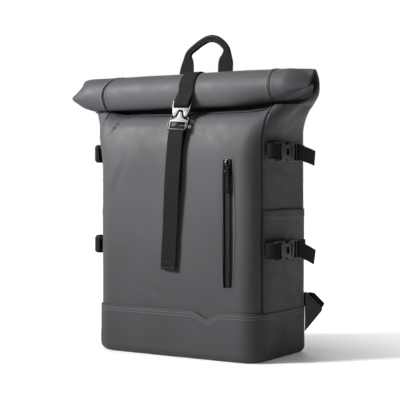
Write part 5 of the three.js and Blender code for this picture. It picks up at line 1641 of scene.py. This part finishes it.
def build_shoulder(side):
    """A shoulder strap: its pad with bound edges, ladder lock and tab, and the webbing from its wing."""
    sign = 1 if side == "right" else -1
    rows = np.array(SHOULDER_ROWS)
    widths = rows[:, 3] * SHOULDER_PAD_WIDTH
    thick = rows[:, 4] * SHOULDER_PAD_THICKNESS
    points = np.stack([
        SHOULDER_TOP_X + rows[:, 0] * SHOULDER_SPREAD,
        BODY_DEPTH / 2 + rows[:, 1] * SHOULDER_STANDOFF,
        SHOULDER_TIP_Z + rows[:, 2] * (SHOULDER_TOP_Z - SHOULDER_TIP_Z),
    ], -1)
    for i in range(SEWN_ROWS):
        s = 2 * QUARTER - points[i, 0]
        k = station_at(points[i, 2], s)
        lift = WALL / 2 + PIECE_GAP + thick[i] / 2 + rows[i, 1]
        points[i] = np.ravel(tube_point(k, s) + tube_normal(k, s) * lift)
    line = curve_through(points, 4.0, (widths, thick))
    centre, width, thickness = line[:, :3], line[:, 3], line[:, 4]
    along = tangents(centre)
    normal = unit(np.stack([np.zeros(len(along)), -along[:, 2], along[:, 1]], -1))
    profiles = [pad_profile(w - 3, max(2.2, t - 3.0)) for w, t in zip(width, thickness)]
    pad = sweep(f"shoulder_cloth_{side}", mirror(centre, sign), mirror(normal, sign), profiles, MESH_CLOTH,
                stands_for=[f"shoulder_pad_{side}"], slot="padding_fabric")
    inflate(pad, 3.6, 4.0, 2.2)
    across = unit(np.cross(along, normal))
    for edge, word in ((-1, "inner"), (1, "outer")):
        p = centre + across * (edge * (width / 2 - 1.2))[:, None]
        sweep(f"shoulder_binding_{word}_{side}", mirror(p, sign), mirror(normal, sign), oval(2.1, 2.4, 12),
              BINDING, slot="webbing")

    tip = points[-1]
    lock_y = tip[1] + 1
    lock_top = tip[2] - 9
    lock_slot = (LOCK_HEIGHT - 3 * PLASTIC_BAR) / 2
    first_hole = -PLASTIC_BAR - lock_slot / 2
    holes = [rounded(SHOULDER_WEB_WIDTH + 1, lock_slot, 1.4, 0, z, 4)
             for z in (first_hole, first_hole - PLASTIC_BAR - lock_slot)]
    lock_outline = rounded(LOCK_WIDTH, LOCK_HEIGHT, 2.6, 0, -LOCK_HEIGHT / 2, 6)
    lip = rounded_box((LOCK_WIDTH - 4, 3.4, 2.0), (0, 0.8, -LOCK_HEIGHT + 0.6), 0.7)
    lock, lock_faces = merge([plate(lock_outline, holes, PLASTIC_BAR, 0.9, 3), lip])
    mesh_piece(f"lock_{side}", mirror(lock + (tip[0], lock_y, lock_top), sign), lock_faces, PLASTIC,
               [f"ladder_lock_{side}"], "black_plastic", sharp=45)
    turn = PLASTIC_BAR * math.sqrt(0.5) / OCTAGON + 0.5 + WEB / 2
    tab = [(lock_y - turn, tip[2] - 2.5)] + arc(lock_y, lock_top - PLASTIC_BAR / 2, turn, 180, 360, 6)
    tab.append((lock_y + turn, tip[2] - 2.5))
    tab = [(tip[0], y, z) for y, z in tab]
    ribbon(f"tab_{side}", mirror(tab, sign), (1, 0, 0), SHOULDER_WEB_WIDTH - 1,
           stands_for=[f"shoulder_tab_{side}"], slot="webbing")

    seam = np.ravel(tube_point(station_at(60, BACK_SEAM), BACK_SEAM))
    facing = unit(np.cross(WING_OUT, (0, 0, 1)))

    def on_wing(out, z, off=0.0):
        p = seam + WING_OUT * (out + 3) + facing * off
        return np.array([p[0], p[1], z])

    outline = [(a * WING_REACH, WING_BOTTOM + b * WING_HEIGHT) for a, b in WING_ROWS]
    wing, wing_faces = plate(outline, (), WING_THICKNESS + 0.6, 0.7, 3)
    wing = np.array([on_wing(a, c, -b) for a, b, c in wing])
    mesh_piece(f"wing_{side}", mirror(wing, sign), wing_faces, FABRIC, [f"strap_wing_{side}"],
               "coated_fabric", sharp=50)
    rows = []
    for face in (-1, 1):
        line = [on_wing(a, z, face * (WING_THICKNESS / 2 + 0.35)) for a, z in WING_SEAM]
        rows.append((mirror(line, sign), mirror([facing * face] * len(line), sign)))
    stitches(f"wing_stitches_{side}", rows, 3.4, 2.5, 0.36, slot="coated_fabric")

    under = -(WING_THICKNESS / 2 + PIECE_GAP + WEB / 2)
    rise = unit([WING_OUT[0] * 0.677, WING_OUT[1] * 0.677, 0.737])
    bar_z = lock_top - LOCK_HEIGHT + PLASTIC_BAR / 2 + PLASTIC_BAR + lock_slot

    def on_band(out, up, off):
        return on_wing(out * WING_REACH, WING_BOTTOM + up * WING_HEIGHT, off)

    path = [
        (on_band(0.42, 0.47, under), facing),
        (on_band(0.75, 0.68, under), facing),
        (on_band(0.92, 0.78, under - 1.5), unit(facing + rise)),
        (on_band(0.92, 0.79, under - 9), rise),
        (on_band(0.75, 0.72, under - 32), unit(rise + np.array([0, 1, 0]))),
        ((tip[0] + 26, lock_y + 2, WING_BOTTOM + 0.84 * WING_HEIGHT), (0, 1, 0)),
        ((tip[0] + 4, lock_y - turn - 1, bar_z - 16), (0, 1, 0)),
    ]
    for y, z in arc(0, 0, 1, 180, 0, 6):
        path.append(((tip[0], lock_y + turn * y, bar_z + turn * z), (0, -y, -z)))
    path.append(((tip[0] - 0.5, lock_y + turn + 1, bar_z - 14), (0, -1, 0)))
    path.append(((tip[0] - 2, lock_y + turn + 3, bar_z - 58), (0, -1, 0)))
    line = curve_through([p for p, _ in path], 2.0, ([n for _, n in path],))
    sweep(f"lower_webbing_{side}", mirror(line[:, :3], sign), mirror(unit(line[:, 3:6]), sign),
          tape_profile(SHOULDER_WEB_WIDTH, WEB), WEBBING, stands_for=[f"shoulder_webbing_{side}"],
          slot="webbing")


def build_stage():
    """A pale floor whose painted glow grows some way off so that it turns white, a pale band round the
    horizon, and soft lamps.
    """
    bpy.ops.mesh.primitive_circle_add(vertices=96, radius=60, fill_type="NGON")
    floor = bpy.context.object
    floor.name = "floor"
    material, tree, shader, place = nodes_of("pale_floor")
    ramp(tree, noise(tree, place, 3, 2), shader.inputs["Base Color"], 0.83, 0.87)
    set_inputs(shader, Roughness=0.7, Emission_Color=(1, 1, 1, 1))
    reach = add_node(tree, "ShaderNodeVectorMath", operation="LENGTH")
    wire(tree, place, reach.inputs[0])
    map_range(tree, reach.outputs["Value"], shader.inputs["Emission Strength"], FLOOR_FADE)
    floor.data.materials.append(material)
    world = bpy.data.worlds.new("studio")
    bpy.context.scene.world = world
    world.use_nodes = True
    tree = world.node_tree
    split = tree.nodes.new("ShaderNodeSeparateXYZ")
    wire(tree, tree.nodes.new("ShaderNodeTexCoord").outputs["Generated"], split.inputs[0])
    level = tree.nodes.new("ShaderNodeValToRGB")
    half = math_node(tree, "MULTIPLY", split.outputs[2], 0.5)
    wire(tree, math_node(tree, "ADD", half, 0.5), level.inputs["Fac"])
    stops = level.color_ramp.elements
    while len(stops) < len(SKY):
        stops.new(0.5)
    for stop, (sine, value) in zip(stops, SKY):
        stop.position = sine / 2 + 0.5
        stop.color = (value, value, value * 1.01, 1)
    wire(tree, level.outputs["Color"], tree.nodes["Background"].inputs["Color"])
    map_range(tree, split.outputs[0], tree.nodes["Background"].inputs["Strength"], RIGHT_SHADE)
    for name, place, aim, size, power in LAMPS:
        data = bpy.data.lights.new(name, "AREA")
        data.shape = "DISK"
        data.size = size
        data.energy = power
        add_lamp(data, place, aim)
    name, place, aim, size, power, angle = SPOT
    data = bpy.data.lights.new(name, "SPOT")
    data.spot_size = math.radians(angle)
    data.spot_blend = 1
    data.shadow_soft_size = size
    data.energy = power
    add_lamp(data, place, aim)
    bpy.context.scene.view_settings.view_transform = "Standard"


def add_lamp(data, place, aim):
    lamp = link(data.name, data)
    lamp.location = place
    lamp.rotation_euler = (Vector(aim) - Vector(place)).to_track_quat("-Z", "Y").to_euler()


def build_camera():
    """The photograph's view: level, 28 cm above the floor, 33 degrees round to the bag's right."""
    data = bpy.data.cameras.new("camera")
    data.sensor_width = SENSOR
    data.lens = FOCAL_LENGTH / IMAGE_SIZE * SENSOR
    data.shift_x = 0.5 - MIDDLE_COLUMN / IMAGE_SIZE
    data.shift_y = HORIZON_ROW / IMAGE_SIZE - 0.5
    camera = link("camera", data)
    back = -CAMERA_DISTANCE * math.cos(CAMERA_AZIMUTH)
    camera.location = (CAMERA_DISTANCE * math.sin(CAMERA_AZIMUTH), back, CAMERA_HEIGHT)
    camera.rotation_euler = (math.pi / 2, 0, CAMERA_AZIMUTH)
    bpy.context.scene.camera = camera


build_panels()
build_piping()
build_base()
build_pockets()
build_zip()
build_roll_strap()
for level, height, over, droop in (
    ("upper", UPPER_STRAP_Z, 0, UPPER_DROOP),
    ("lower", LOWER_STRAP_Z, PIECE_GAP + POCKET_WALL, LOWER_DROOP),
):
    for side in ("right", "left"):
        build_side_strap(level, side, height, over, droop)
build_handle()
build_back_pad()
for side in ("right", "left"):
    build_shoulder(side)
build_stage()
build_camera()
